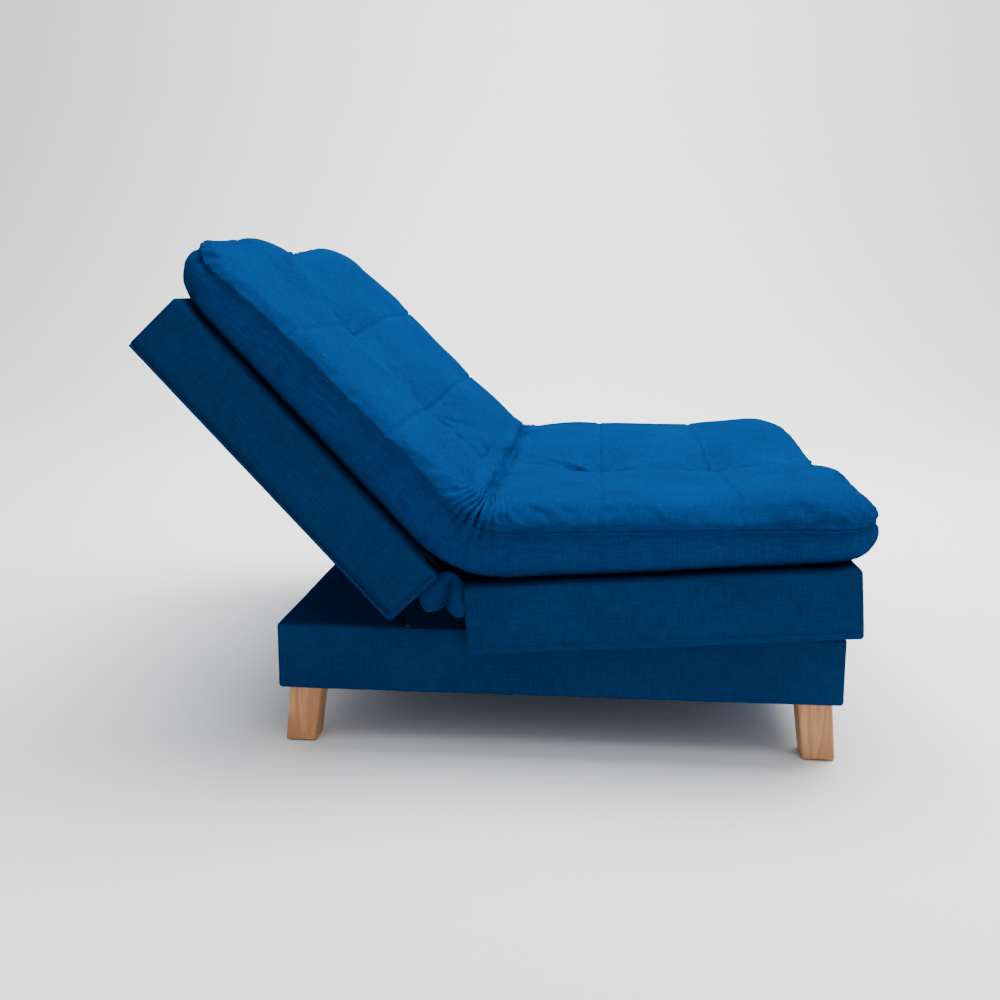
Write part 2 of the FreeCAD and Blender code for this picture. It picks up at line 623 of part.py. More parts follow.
def add_back():
    """Back box: rails, slats, foam, boards, cover, piping and hinge arms."""
    for side, sign in SIDES:
        low, high = span(sign, BOX_INNER, BOX_SIDE)
        keep(block(f"back_side_rail_{side}", "back_frame",
                   (low, "cover_thickness", BACK_FRAME_BOTTOM), (high, BACK_END, FRAME_TOP)),
             f"back_side_rail_{side}")
    keep(block("back_top_rail", "back_frame",
               (f"-{BOX_INNER}", f"{BACK_END} - rail_thickness", BACK_FRAME_BOTTOM),
               (BOX_INNER, BACK_END, FRAME_TOP)), "back_top_rail")
    keep(block("back_bottom_rail", "back_frame",
               (f"-{ARM_INNER}", "back_rail_inset", BACK_FRAME_BOTTOM),
               (ARM_INNER, "back_rail_inset + rail_thickness", FRAME_TOP)), "back_bottom_rail")
    add_slats("back", "back_frame", "back_rail_inset", BACK_END)
    foam = block("back_foam_sheet", "back_frame", (f"-{BOX_SIDE}", "cover_thickness", SLAT_TOP),
                 (BOX_SIDE, BACK_END, FOAM_TOP))
    keep(cut("back_foam", foam, back_slots("foam", BOX_SIDE)), "back_foam")
    board = block("rear_board", "back_frame", (f"-{BOX_SIDE}", "cover_thickness", "cover_thickness"),
                  (BOX_SIDE, BACK_END, BACK_FRAME_BOTTOM))
    keep(cut("back_rear_board", board, back_slots("board", BOX_INNER)), "back_rear_board")
    keep(block("back_end_board", "back_frame", (f"-{SLOT_INNER}", "cover_thickness",
                                                BACK_FRAME_BOTTOM),
               (SLOT_INNER, "cover_thickness + board_thickness", SLAT_TOP)), "back_end_board")
    outer = block("back_cover_outer", "back_frame", (f"-{BOX_HALF}", 0, 0),
                  (BOX_HALF, "back_length", "box_rise"))
    inner = block("back_cover_inner", "back_frame",
                  (f"-{BOX_SIDE}", "cover_thickness", "cover_thickness"),
                  (BOX_SIDE, BACK_END, FOAM_TOP))
    keep(cut("back_cover", outer, [inner] + back_slots("cover", BOX_INNER)), "back_cover")
    add_piping()
    add_arms("back", ("back_pivot_inside", "back_pivot_height"), "back_arm_height", 1)


def back_slots(name, outer):
    """Tools that open a box's bottom end for the brackets and arms."""
    slots = []
    for side, sign in SIDES:
        low, high = span(sign, SLOT_INNER, outer)
        slots.append(block(f"{name}_slot_{side}", "back_frame", (low, "-fit_gap", "-fit_gap"),
                           (high, "slot_length", "box_rise + fit_gap")))
    return slots


def add_piping():
    """Welts along the rear edges of the back box, outside its cover."""
    strips = []
    for side, sign in SIDES:
        x = f"{sign} * ({BOX_HALF} + piping_radius)"
        strips.append(rod(f"piping_{side}", "back_frame", (x, 0, "piping_radius"),
                          "piping_radius", "back_length", "1; 0; 0", "-90"))
    group("back_piping", strips)


def topper(name, frame, points, rounding):
    """A padded half of the topper: a profile across the sofa, with rounded edges."""
    body = new_body(name)
    sketch = sketch_on(body, f"{name}_profile")
    outline(sketch, points)
    feature = pad(body, sketch, f"2 * {BOX_HALF}")
    doc.recompute()
    fillet = body.newObject("PartDesign::Fillet", f"{name}_fillet")
    fillet.Base = (feature, rounding(feature.Shape))
    fillet.setExpression("Radius", "sizes.topper_end_radius")
    body.Tip = fillet
    keep(put(body, frame, f"-{BOX_HALF}", 0, 0), name)
    return body


def edges_at(shape, height, along):
    """Name the cross edges at the open end of a topper, at its upper and lower face."""
    names = []
    for index, edge in enumerate(shape.Edges, start=1):
        box = edge.BoundBox
        if box.XLength > NEAR and abs(box.YMin - along) < NEAR and box.ZMax > height:
            names.append(f"Edge{index}")
    return names


def add_topper():
    """Seat half and back half of the topper, each rounded at its free end."""
    bottom = "box_rise + soft_gap"
    top = f"{bottom} + topper_thickness"
    front = "-seat_depth - topper_nose"
    topper("seat_topper", "seat_frame",
           [("-seat_fold_bottom", bottom), ("-seat_fold_top", top), (front, top),
            (front, bottom)],
           lambda shape: edges_at(shape, value(bottom) - NEAR, value(front)))
    end = "back_length + topper_top_overhang"
    topper("back_topper", "back_frame",
           [("back_fold_bottom", bottom), (end, bottom), (end, top), ("back_fold_top", top)],
           lambda shape: edges_at(shape, value(bottom) - NEAR, value(end)))


def to_base(box, along, out):
    """Turn a point of a box's own system into base-frame Y and Z expressions."""
    pivot, inside, height, angle = {
        "seat": (SEAT_PIVOT, "-seat_pivot_behind", "seat_pivot_height", "-seat_tilt"),
        "back": (BACK_PIVOT, "-back_pivot_inside", "back_pivot_height", "back_angle")}[box]
    along, out = f"(({along}) + ({inside}))", f"(({out}) - {height})"
    return (f"{pivot[0]} + {along} * cos({angle}) - {out} * sin({angle})",
            f"{pivot[1]} + {along} * sin({angle}) + {out} * cos({angle})")


def add_fold():
    """Soft wedge of the topper that closes the fold between its two halves."""
    bottom = "(box_rise + soft_gap)"
    top = f"({bottom} + topper_thickness)"
    body = new_body("topper_fold_wedge")
    sketch = sketch_on(body, "fold_profile")
    outline(sketch, [to_base("seat", "-seat_fold_bottom + soft_gap", bottom),
                     to_base("back", "back_fold_bottom - soft_gap", bottom),
                     to_base("back", "back_fold_top - soft_gap", top),
                     ("crease_y", f"{BASE_TOP} + crease_rise"),
                     to_base("seat", "-seat_fold_top + soft_gap", top)])
    pad(body, sketch, f"2 * {BOX_HALF}")
    keep(put(body, "base_frame", f"-{BOX_HALF}", 0, 0), "topper_fold")


def add_gussets():
    """Pleated fabric gussets that close the gap between the boxes beside each hinge."""
    for side, sign in SIDES:
        body = new_body(f"gusset_{side}_body")
        sketch = sketch_on(body, f"gusset_{side}_outline")
        outline(sketch, [to_base("seat", "soft_gap", "gusset_seat_low"),
                         to_base("back", "-soft_gap", "gusset_back_low"),
                         to_base("back", "-soft_gap", "gusset_high"),
                         to_base("seat", "soft_gap", "gusset_high")])
        pad(body, sketch, "gusset_thickness")
        low = span(sign, f"{BOX_SIDE} - gusset_thickness", BOX_SIDE)[0]
        keep(put(body, "base_frame", low, 0, 0), f"gusset_{side}")


def check_and_export():
    """Stop on a failed feature, then write each sub-part to its own file."""
    doc.recompute()
    for item in doc.Objects:
        if "Invalid" in item.State or "Error" in item.State:
            raise RuntimeError(f"{item.Label} failed: {item.State}")
    for node in nodes:
        if node.Shape.isNull() or not node.Shape.isValid() or not node.Shape.Solids:
            raise RuntimeError(f"{node.Label} has no valid solid")
    os.makedirs(OUT, exist_ok=True)
    for node in nodes:
        node.Shape.exportStep(f"{OUT}/{node.Label}.step")
    print(f"{len(nodes)} sub-parts written")


fill_sheet()
add_frames()
add_base_frame()
add_base_top()
add_legs()
add_brackets()
add_pins()
add_pawls()
add_buffers()
add_seat()
add_back()
add_topper()
add_fold()
add_gussets()
check_and_export()
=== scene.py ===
"""Looks of a click-clack futon sofa bed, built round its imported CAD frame.

Every piece is in metres, in the row frame: X across the sofa, the front faces -Y, Z up.
"""

import itertools
import json
import logging
import math
from dataclasses import dataclass, field
from enum import Enum
from typing import Sequence

import bmesh
import bpy
import numpy as np
from mathutils import Matrix, Vector

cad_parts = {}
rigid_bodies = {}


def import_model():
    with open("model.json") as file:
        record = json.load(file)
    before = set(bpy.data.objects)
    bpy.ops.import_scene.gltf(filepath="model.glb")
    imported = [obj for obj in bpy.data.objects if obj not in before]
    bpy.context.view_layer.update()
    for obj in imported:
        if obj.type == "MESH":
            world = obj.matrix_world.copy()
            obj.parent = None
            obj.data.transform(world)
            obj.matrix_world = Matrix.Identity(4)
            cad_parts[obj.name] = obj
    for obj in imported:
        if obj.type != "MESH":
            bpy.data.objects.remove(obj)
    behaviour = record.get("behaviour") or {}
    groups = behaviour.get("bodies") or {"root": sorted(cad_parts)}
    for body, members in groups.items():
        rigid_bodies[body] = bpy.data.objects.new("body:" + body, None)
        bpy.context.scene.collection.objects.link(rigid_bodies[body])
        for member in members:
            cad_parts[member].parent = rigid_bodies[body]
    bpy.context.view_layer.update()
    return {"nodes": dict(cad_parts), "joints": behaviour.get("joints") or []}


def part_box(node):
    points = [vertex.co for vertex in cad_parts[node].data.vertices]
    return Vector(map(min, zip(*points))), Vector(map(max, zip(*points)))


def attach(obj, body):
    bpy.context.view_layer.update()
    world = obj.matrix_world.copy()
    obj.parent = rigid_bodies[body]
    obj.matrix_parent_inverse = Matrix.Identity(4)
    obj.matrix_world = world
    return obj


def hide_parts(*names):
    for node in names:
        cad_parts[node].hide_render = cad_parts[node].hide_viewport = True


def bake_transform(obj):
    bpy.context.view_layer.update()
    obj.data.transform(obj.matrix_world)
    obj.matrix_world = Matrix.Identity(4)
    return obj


LOG = logging.getLogger("futon")
SIDES = (("left", -1.0), ("right", 1.0))


def smooth_step(low: float, high: float, value: np.ndarray) -> np.ndarray:
    """Rise smoothly from 0 at low to 1 at high."""
    share = np.clip((value - low) / (high - low), 0.0, 1.0)
    return share * share * (3.0 - 2.0 * share)


def bell(distance: np.ndarray, width: float) -> np.ndarray:
    """Fall from 1 at no distance towards 0 beyond a width."""
    return np.exp(-((distance / width) ** 2))


def noise_at(points: np.ndarray, scale: float, seed: float) -> np.ndarray:
    """Give smooth noise between about -1 and 1 at each point.

    Args:
        points: An array of points, three numbers each.
        scale: How many noise cells there are in a metre.
        seed: Where in the noise to look.

    Returns:
        One number for each point.
    """
    spots = points * scale + np.array((seed, seed * 1.7, seed * 0.3))
    cells = np.floor(spots)
    inside = spots - cells
    fade = inside ** 3 * (inside * (inside * 6.0 - 15.0) + 10.0)
    total = np.zeros(len(spots))
    for corner in itertools.product((0, 1), repeat=3):
        node = (cells + corner).astype(np.int64)
        mixed = (node[:, 0] * 73856093) ^ (node[:, 1] * 19349663) ^ (node[:, 2] * 83492791)
        mixed = (mixed * 2654435761) & 0xFFFFFFFF
        mixed = ((mixed ^ (mixed >> 15)) * 2246822519) & 0xFFFFFFFF
        slope = np.stack([(mixed >> shift) & 255 for shift in (2, 11, 20)], axis=1) / 127.5 - 1.0
        weight = np.prod(np.where(np.array(corner) == 1, fade, 1.0 - fade), axis=1)
        total += weight * np.sum(slope * (inside - corner), axis=1)
    return total * 1.5


# --------------------------------------------------------------------------------------------
# Shader nodes


class Value:
    """A number in a material: a node's output socket, with arithmetic on it."""

    def __init__(self, tree: "NodeTree", socket: bpy.types.NodeSocket) -> None:
        """Wrap a socket of a tree."""
        self.tree = tree
        self.socket = socket

    def _maths(self, operation: str, *terms: object) -> "Value":
        """Add a Math node on these terms."""
        return self.tree.add("ShaderNodeMath", {"operation": operation}, list(terms))

    def __add__(self, other: object) -> "Value":
        """Add."""
        return self._maths("ADD", self, other)

    def __radd__(self, other: object) -> "Value":
        """Add to a number."""
        return self._maths("ADD", other, self)

    def __sub__(self, other: object) -> "Value":
        """Subtract."""
        return self._maths("SUBTRACT", self, other)

    def __rsub__(self, other: object) -> "Value":
        """Subtract from a number."""
        return self._maths("SUBTRACT", other, self)

    def __mul__(self, other: object) -> "Value":
        """Multiply."""
        return self._maths("MULTIPLY", self, other)

    def __rmul__(self, other: object) -> "Value":
        """Multiply a number."""
        return self._maths("MULTIPLY", other, self)

    def sine(self) -> "Value":
        """Take the sine."""
        return self._maths("SINE", self)

    def power(self, exponent: float) -> "Value":
        """Raise to a power."""
        return self._maths("POWER", self, exponent)


class NodeTree:
    """A material's node tree, with one method that adds any node."""

    def __init__(self, name: str) -> None:
        """Make a material with an empty tree."""
        self.material = bpy.data.materials.new(name)
        self.material.use_nodes = True
        self.nodes = self.material.node_tree.nodes
        self.links = self.material.node_tree.links
        self.nodes.clear()

    def add(self, kind: str, settings: dict[str, object] | None = None,
            inputs: list[object] | dict[object, object] | None = None,
            output: int | str = 0) -> Value:
        """Add a node.

        Args:
            kind: The node's type name.
            settings: Its properties; "stops" holds a ramp's places and colours.
            inputs: Its sockets' values or links, in order or by name.
            output: Which output is wanted.

        Returns:
            That output.
        """
        node = self.nodes.new(kind)
        for name, setting in (settings or {}).items():
            if name == "stops":
                self._stops(node, setting)
            else:
                setattr(node, name, setting)
        pairs = inputs.items() if isinstance(inputs, dict) else enumerate(inputs or [])
        for key, term in pairs:
            socket = node.inputs[key]
            if isinstance(term, Value):
                self.links.new(term.socket, socket)
            else:
                socket.default_value = term
        return Value(self, node.outputs[output]) if node.outputs else Value(self, None)

    @staticmethod
    def _stops(node: bpy.types.Node, stops: Sequence[tuple[float, Sequence[float]]]) -> None:
        """Fill a colour ramp."""
        ramp = node.color_ramp
        while len(ramp.elements) < len(stops):
            ramp.elements.new(1.0)
        for element, (place, colour) in zip(ramp.elements, stops):
            element.position = place
            element.color = (*colour, 1.0)

    def coordinates(self, uv: bool) -> Value:
        """Give the piece's own cloth coordinates, or its object coordinates."""
        if uv:
            return self.add("ShaderNodeUVMap", {"uv_map": "cloth"})
        return self.add("ShaderNodeTexCoord", output="Object")

    def parts_of(self, vector: Value) -> tuple[Value, Value, Value]:
        """Split a vector in three."""
        first = self.add("ShaderNodeSeparateXYZ", None, [vector])
        node = first.socket.node
        return first, Value(self, node.outputs[1]), Value(self, node.outputs[2])

    def stretched(self, vector: Value, scale: Sequence[float]) -> Value:
        """Scale a pattern's coordinates."""
        return self.add("ShaderNodeMapping", None, {"Vector": vector, "Scale": scale})

    def cloud(self, vector: Value, scale: float, detail: float = 2.0,
              roughness: float = 0.5) -> Value:
        """Add a noise texture and give its strength."""
        return self.add("ShaderNodeTexNoise", None,
                        {"Vector": vector, "Scale": scale, "Detail": detail,
                         "Roughness": roughness})

    def ramp(self, factor: Value, stops: Sequence[tuple[float, Sequence[float]]]) -> Value:
        """Turn a number into a colour."""
        return self.add("ShaderNodeValToRGB", {"stops": stops}, {"Fac": factor})

    def bump(self, height: Value, distance: float) -> Value:
        """Turn a height into a normal."""
        return self.add("ShaderNodeBump", None, {"Distance": distance, "Height": height})

    def surface(self, inputs: dict[str, object]) -> bpy.types.Material:
        """Finish the material with one shader."""
        shader = self.add("ShaderNodeBsdfPrincipled", None, inputs)
        output = self.nodes.new("ShaderNodeOutputMaterial")
        self.links.new(shader.socket, output.inputs["Surface"])
        return self.material


@dataclass(frozen=True)
class WovenCloth:
    """Plain-woven linen-look cloth: slubby warp and weft threads, a few of them paler."""

    name: str
    deep: tuple[float, float, float]
    bright: tuple[float, float, float]
    thread: float = 0.0016
    relief: float = 0.00045
    roughness: float = 0.86

    def material(self) -> bpy.types.Material:
        """Build the material on the piece's cloth coordinates.

        Returns:
            The finished material.
        """
        tree = NodeTree(self.name)
        place = tree.coordinates(uv=True)
        across, along, _ = tree.parts_of(place)
        wobble = tree.cloud(place, 90.0, 2.0) * 0.9
        pace = 2.0 * math.pi / (2.0 * self.thread)
        warp = (across * pace + wobble).sine()
        weft = (along * pace + wobble).sine()
        over = (warp * weft) * 0.5 + 0.5
        slub_warp = tree.cloud(tree.stretched(place, (620.0, 34.0, 1.0)), 1.0, 2.0)
        slub_weft = tree.cloud(tree.stretched(place, (34.0, 620.0, 1.0)), 1.0, 2.0)
        slubs = slub_warp * over + slub_weft * (1.0 - over)
        wear = tree.cloud(place, 7.0, 3.0)
        tone = slubs * 0.75 + over * 0.16 + wear * 0.22
        colour = tree.ramp(tone, ((0.30, self.deep), (0.80, self.bright)))
        height = over * 0.6 + slubs * 0.9
        return tree.surface({"Base Color": colour, "Roughness": self.roughness,
                             "Specular IOR Level": 0.0,
                             "Normal": tree.bump(height, self.relief)})


@dataclass(frozen=True)
class PlainCloth:
    """Non-woven dust cloth or raw foam: a fine random surface of one tone."""

    name: str
    deep: tuple[float, float, float]
    bright: tuple[float, float, float]
    grain: float = 400.0
    relief: float = 0.0004

    def material(self) -> bpy.types.Material:
        """Build the material on object coordinates."""
        tree = NodeTree(self.name)
        place = tree.coordinates(uv=False)
        grain = tree.cloud(place, self.grain, 3.0)
        colour = tree.ramp(grain, ((0.3, self.deep), (0.75, self.bright)))
        return tree.surface({"Base Color": colour, "Roughness": 0.95,
                             "Specular IOR Level": 0.2,
                             "Normal": tree.bump(grain, self.relief)})


@dataclass(frozen=True)
class Timber:
    """Planed wood whose grain runs along one axis."""

    name: str
    early: tuple[float, float, float]
    late: tuple[float, float, float]
    axis: int = 2
    gloss: float = 0.42
    lacquer: float = 0.15

    def material(self) -> bpy.types.Material:
        """Build the material on object coordinates.

        Returns:
            The finished material.
        """
        tree = NodeTree(self.name)
        place = tree.coordinates(uv=False)
        coarse = [26.0, 26.0, 26.0]
        coarse[self.axis] = 1.6
        fine = [900.0, 900.0, 900.0]
        fine[self.axis] = 14.0
        bands = tree.cloud(tree.stretched(place, coarse), 1.0, 3.0, 0.6)
        rings = ((bands * 46.0).sine() * 0.5 + 0.5).power(1.6)
        pores = tree.cloud(tree.stretched(place, fine), 1.0, 2.0)
        tone = rings * 0.55 + pores * 0.45 + bands * 0.3
        colour = tree.ramp(tone, ((0.25, self.late), (0.85, self.early)))
        rough = pores * 0.2 + (self.gloss - 0.06)
        return tree.surface({"Base Color": colour, "Roughness": rough,
                             "Coat Weight": self.lacquer, "Coat Roughness": 0.25,
                             "Normal": tree.bump(pores * 0.7 + rings * 0.3, 0.00025)})


@dataclass(frozen=True)
class Metal:
    """Steel, bare or painted, with fine scuffs."""

    name: str
    colour: tuple[float, float, float]
    metallic: float
    roughness: float
    specular: float = 0.5

    def material(self) -> bpy.types.Material:
        """Build the material on object coordinates."""
        tree = NodeTree(self.name)
        place = tree.coordinates(uv=False)
        scuffs = tree.cloud(tree.stretched(place, (240.0, 60.0, 900.0)), 1.0, 3.0)
        spots = tree.cloud(place, 120.0, 4.0)
        paler = tuple(min(1.0, part * 1.35 + 0.01) for part in self.colour)
        colour = tree.ramp(spots, ((0.35, self.colour), (0.75, paler)))
        rough = scuffs * 0.3 + (self.roughness - 0.12)
        return tree.surface({"Base Color": colour, "Roughness": rough,
                             "Metallic": self.metallic, "Specular IOR Level": self.specular,
                             "Normal": tree.bump(scuffs + spots, 0.00012)})


@dataclass(frozen=True)
class Rubber:
    """Moulded rubber with a dull bloom."""

    name: str
    colour: tuple[float, float, float]

    def material(self) -> bpy.types.Material:
        """Build the material on object coordinates."""
        tree = NodeTree(self.name)
        place = tree.coordinates(uv=False)
        bloom = tree.cloud(place, 160.0, 3.0)
        dusty = tuple(part * 1.8 + 0.012 for part in self.colour)
        colour = tree.ramp(bloom, ((0.4, self.colour), (0.8, dusty)))
        return tree.surface({"Base Color": colour, "Roughness": bloom * 0.2 + 0.6,
                             "Normal": tree.bump(bloom, 0.0002)})


class Shade(Enum):
    """The finishes of this sofa, each with what makes it."""

    # COVER_PAINTED_SHADE and TOPPER_PAINTED_LIGHT are one royal blue cloth in two copies: the
    # box cover's copy is darker as painted shade, and the topper's is lighter as painted light.
    COVER_PAINTED_SHADE = WovenCloth("royal_blue_cloth_painted_shade", (0.0, 0.010, 0.046), (0.0006, 0.040, 0.135))
    TOPPER_PAINTED_LIGHT = WovenCloth("royal_blue_topper_cloth_painted_light", (0.0, 0.0115, 0.053),
                        (0.0, 0.0455, 0.174))
    # LINING_PAINTED_SHADE is a near-black navy that paints the shade of the gap under the
    # gusset's lobes; it is not the colour of a real lining cloth.
    LINING_PAINTED_SHADE = WovenCloth("navy_gusset_painted_shade", (0.0, 0.0022, 0.009), (0.0, 0.0075, 0.024))
    DUST = PlainCloth("black_dust_cloth", (0.008, 0.008, 0.009), (0.030, 0.030, 0.033))
    FOAM = PlainCloth("cream_foam", (0.62, 0.56, 0.38), (0.82, 0.77, 0.60), 700.0, 0.0009)
    LEG = Timber("lacquered_brown_wood", (0.55, 0.255, 0.088), (0.40, 0.155, 0.048))
    RAIL_X = Timber("softwood_across", (0.78, 0.60, 0.38), (0.58, 0.38, 0.20), 0, 0.7, 0.0)
    RAIL_Y = Timber("softwood_along", (0.78, 0.60, 0.38), (0.58, 0.38, 0.20), 1, 0.7, 0.0)
    SLAT = Timber("birch_slats", (0.86, 0.72, 0.50), (0.70, 0.52, 0.31), 0, 0.5, 0.1)
    BOARD = Timber("pressed_board", (0.62, 0.45, 0.27), (0.44, 0.29, 0.15), 0, 0.8, 0.0)
    PAINTED = Metal("black_painted_steel", (0.010, 0.010, 0.012), 0.0, 0.70, 0.1)
    ZINC = Metal("zinc_plated_steel", (0.50, 0.51, 0.53), 1.0, 0.34)
    RUBBER = Rubber("black_rubber", (0.018, 0.018, 0.018))


class Palette:
    """Makes each finish once and gives it to pieces."""

    def __init__(self) -> None:
        """Start with no materials made."""
        self._made: dict[Shade, bpy.types.Material] = {}

    def __getitem__(self, shade: Shade) -> bpy.types.Material:
        """Give a finish's material."""
        if shade not in self._made:
            self._made[shade] = shade.value.material()
        return self._made[shade]

    def dress(self, piece: bpy.types.Object, shade: Shade) -> None:
        """Put one finish on all of a piece."""
        piece.data.materials.clear()
        piece.data.materials.append(self[shade])

    def dress_node(self, node: bpy.types.Object, shade: Shade) -> None:
        """Put one finish on a CAD node, through its material slots."""
        for part in [node, *node.children_recursive]:
            if part.type != "MESH":
                continue
            for slot in part.material_slots:
                slot.link = "OBJECT"
                slot.material = self[shade]


# --------------------------------------------------------------------------------------------
# Places


@dataclass(frozen=True)
class BoxPlace:
    """A moving box's own system: Y along the box, Z out of its upholstered face."""

    pivot: Vector
    angle: float
    pivot_along: float
    pivot_height: float

    def matrix(self) -> Matrix:
        """Give the matrix from the box's own system to the row frame."""
        turn = Matrix.Rotation(self.angle, 4, "X")
        return (Matrix.Translation(self.pivot) @ turn
                @ Matrix.Translation((0.0, -self.pivot_along, -self.pivot_height)))


def joint_place(frame: dict, name: str) -> Vector:
    """Give a joint's place from the frame."""
    for joint in frame["joints"]:
        if joint["name"] == name:
            return Vector(joint["pos_m"])
    raise ValueError(f"the frame has no joint {name}")


def seat_place(frame: dict) -> BoxPlace:
    """The seat box's system."""
    return BoxPlace(joint_place(frame, "seat_lift"), math.radians(-4.2), 0.0175, 0.0755)


def back_place(frame: dict) -> BoxPlace:
    """The back box's system."""
    return BoxPlace(joint_place(frame, "back_recline"), math.radians(46.9), 0.0108, 0.070)


# --------------------------------------------------------------------------------------------
# Mesh helpers


def new_piece(name: str, mesh: bmesh.types.BMesh) -> bpy.types.Object:
    """Turn a bmesh into a smooth-shaded object in the scene.

    Args:
        name: The piece's name.
        mesh: The bmesh, which is freed.

    Returns:
        The new object.
    """
    data = bpy.data.meshes.new(name)
    mesh.to_mesh(data)
    mesh.free()
    piece = bpy.data.objects.new(name, data)
    bpy.context.scene.collection.objects.link(piece)
    for polygon in data.polygons:
        polygon.use_smooth = True
    return piece


def cloth_map(piece: bpy.types.Object, to_row: Matrix) -> None:
    """Lay cloth coordinates on a boxy piece, each face along its own box axes."""
    back = to_row.inverted()
    turn = back.to_3x3()
    data = piece.data
    layer = data.uv_layers.new(name="cloth")
    for polygon in data.polygons:
        normal = turn @ polygon.normal
        sizes = [abs(part) for part in normal]
        drop = sizes.index(max(sizes))
        keep = [axis for axis in range(3) if axis != drop]
        for loop in polygon.loop_indices:
            spot = back @ data.vertices[data.loops[loop].vertex_index].co
            layer.data[loop].uv = (spot[keep[0]], spot[keep[1]])


def coordinates(piece: bpy.types.Object) -> np.ndarray:
    """Read a piece's vertices."""
    places = np.empty(len(piece.data.vertices) * 3)
    piece.data.vertices.foreach_get("co", places)
    return places.reshape(-1, 3)


def set_coordinates(piece: bpy.types.Object, places: np.ndarray) -> None:
    """Write a piece's vertices."""
    piece.data.vertices.foreach_set("co", places.reshape(-1))
    piece.data.update()


def rounded_block(low: Sequence[float], high: Sequence[float], radius: float,
                  cut_size: float) -> bmesh.types.BMesh:
    """Make a box with rounded edges, cut finely enough to shape its faces.

    Args:
        low: The lowest corner.
        high: The highest corner.
        radius: The edge radius.
        cut_size: The largest face side.

    Returns:
        The bmesh.
    """
    mesh = bmesh.new()
    bmesh.ops.create_cube(mesh, size=1.0)
    size = [b - a for a, b in zip(low, high)]
    middle = [(a + b) / 2 for a, b in zip(low, high)]
    bmesh.ops.scale(mesh, vec=size, verts=mesh.verts)
    bmesh.ops.translate(mesh, vec=middle, verts=mesh.verts)
    bmesh.ops.bevel(mesh, geom=list(mesh.edges), offset=radius, affect="EDGES", segments=3,
                    profile=0.5, material=-1)
    for axis in range(3):
        count = int(size[axis] / cut_size)
        for step in range(1, count):
            place = [0.0, 0.0, 0.0]
            place[axis] = low[axis] + radius + (size[axis] - 2 * radius) * step / count
            normal = [0.0, 0.0, 0.0]
            normal[axis] = 1.0
            everything = list(mesh.verts) + list(mesh.edges) + list(mesh.faces)
            bmesh.ops.bisect_plane(mesh, geom=everything, plane_co=place, plane_no=normal)
    return mesh


def tube(name: str, path: np.ndarray, radius: float, sides: int,
         seed: float) -> bpy.types.Object:
    """Make a closed, slightly uneven cord along a path.

    Args:
        name: The piece's name.
        path: The points along its middle.
        radius: Its radius.
        sides: How many faces go round it.
        seed: Where in the noise its unevenness comes from.

    Returns:
        The new piece, with cloth coordinates.
    """
    way = np.gradient(path, axis=0)
    way /= np.maximum(np.linalg.norm(way, axis=1), 1e-9)[:, None]
    first = np.cross(way, (0.31, 0.52, 0.79))
    first /= np.linalg.norm(first, axis=1)[:, None]
    second = np.cross(way, first)
    uneven = radius * (1.0 + 0.10 * noise_at(path, 110.0, seed))
    run = np.concatenate([[0.0], np.cumsum(np.linalg.norm(np.diff(path, axis=0), axis=1))])
    mesh = bmesh.new()
    rings = []
    for spot, one, two, size in zip(path, first, second, uneven):
        ring = []
        for number in range(sides):
            angle = 2 * math.pi * number / sides
            ring.append(mesh.verts.new(spot + size * (one * math.cos(angle)
                                                      + two * math.sin(angle))))
        rings.append(ring)
    layer = mesh.loops.layers.uv.new("cloth")
    for index, (ring, following) in enumerate(zip(rings, rings[1:])):
        for number in range(sides):
            after = (number + 1) % sides
            face = mesh.faces.new((ring[number], ring[after], following[after],
                                   following[number]))
            places = ((number, index), (number + 1, index), (number + 1, index + 1),
                      (number, index + 1))
            for loop, (turn, step) in zip(face.loops, places):
                loop[layer].uv = (turn * 2 * math.pi * radius / sides, run[step])
    for ring in (rings[0], rings[-1]):
        mesh.faces.new(ring)
    bmesh.ops.recalc_face_normals(mesh, faces=mesh.faces)
    return new_piece(name, mesh)


def join(pieces: Sequence[bpy.types.Object], name: str) -> bpy.types.Object:
    """Join pieces into one mesh.

    Args:
        pieces: The pieces, which are removed.
        name: The joined piece's name.

    Returns:
        The joined piece.
    """
    mesh = bmesh.new()
    for piece in pieces:
        mesh.from_mesh(piece.data)
        bpy.data.objects.remove(piece)
    return new_piece(name, mesh)


# --------------------------------------------------------------------------------------------
# Upholstered boxes


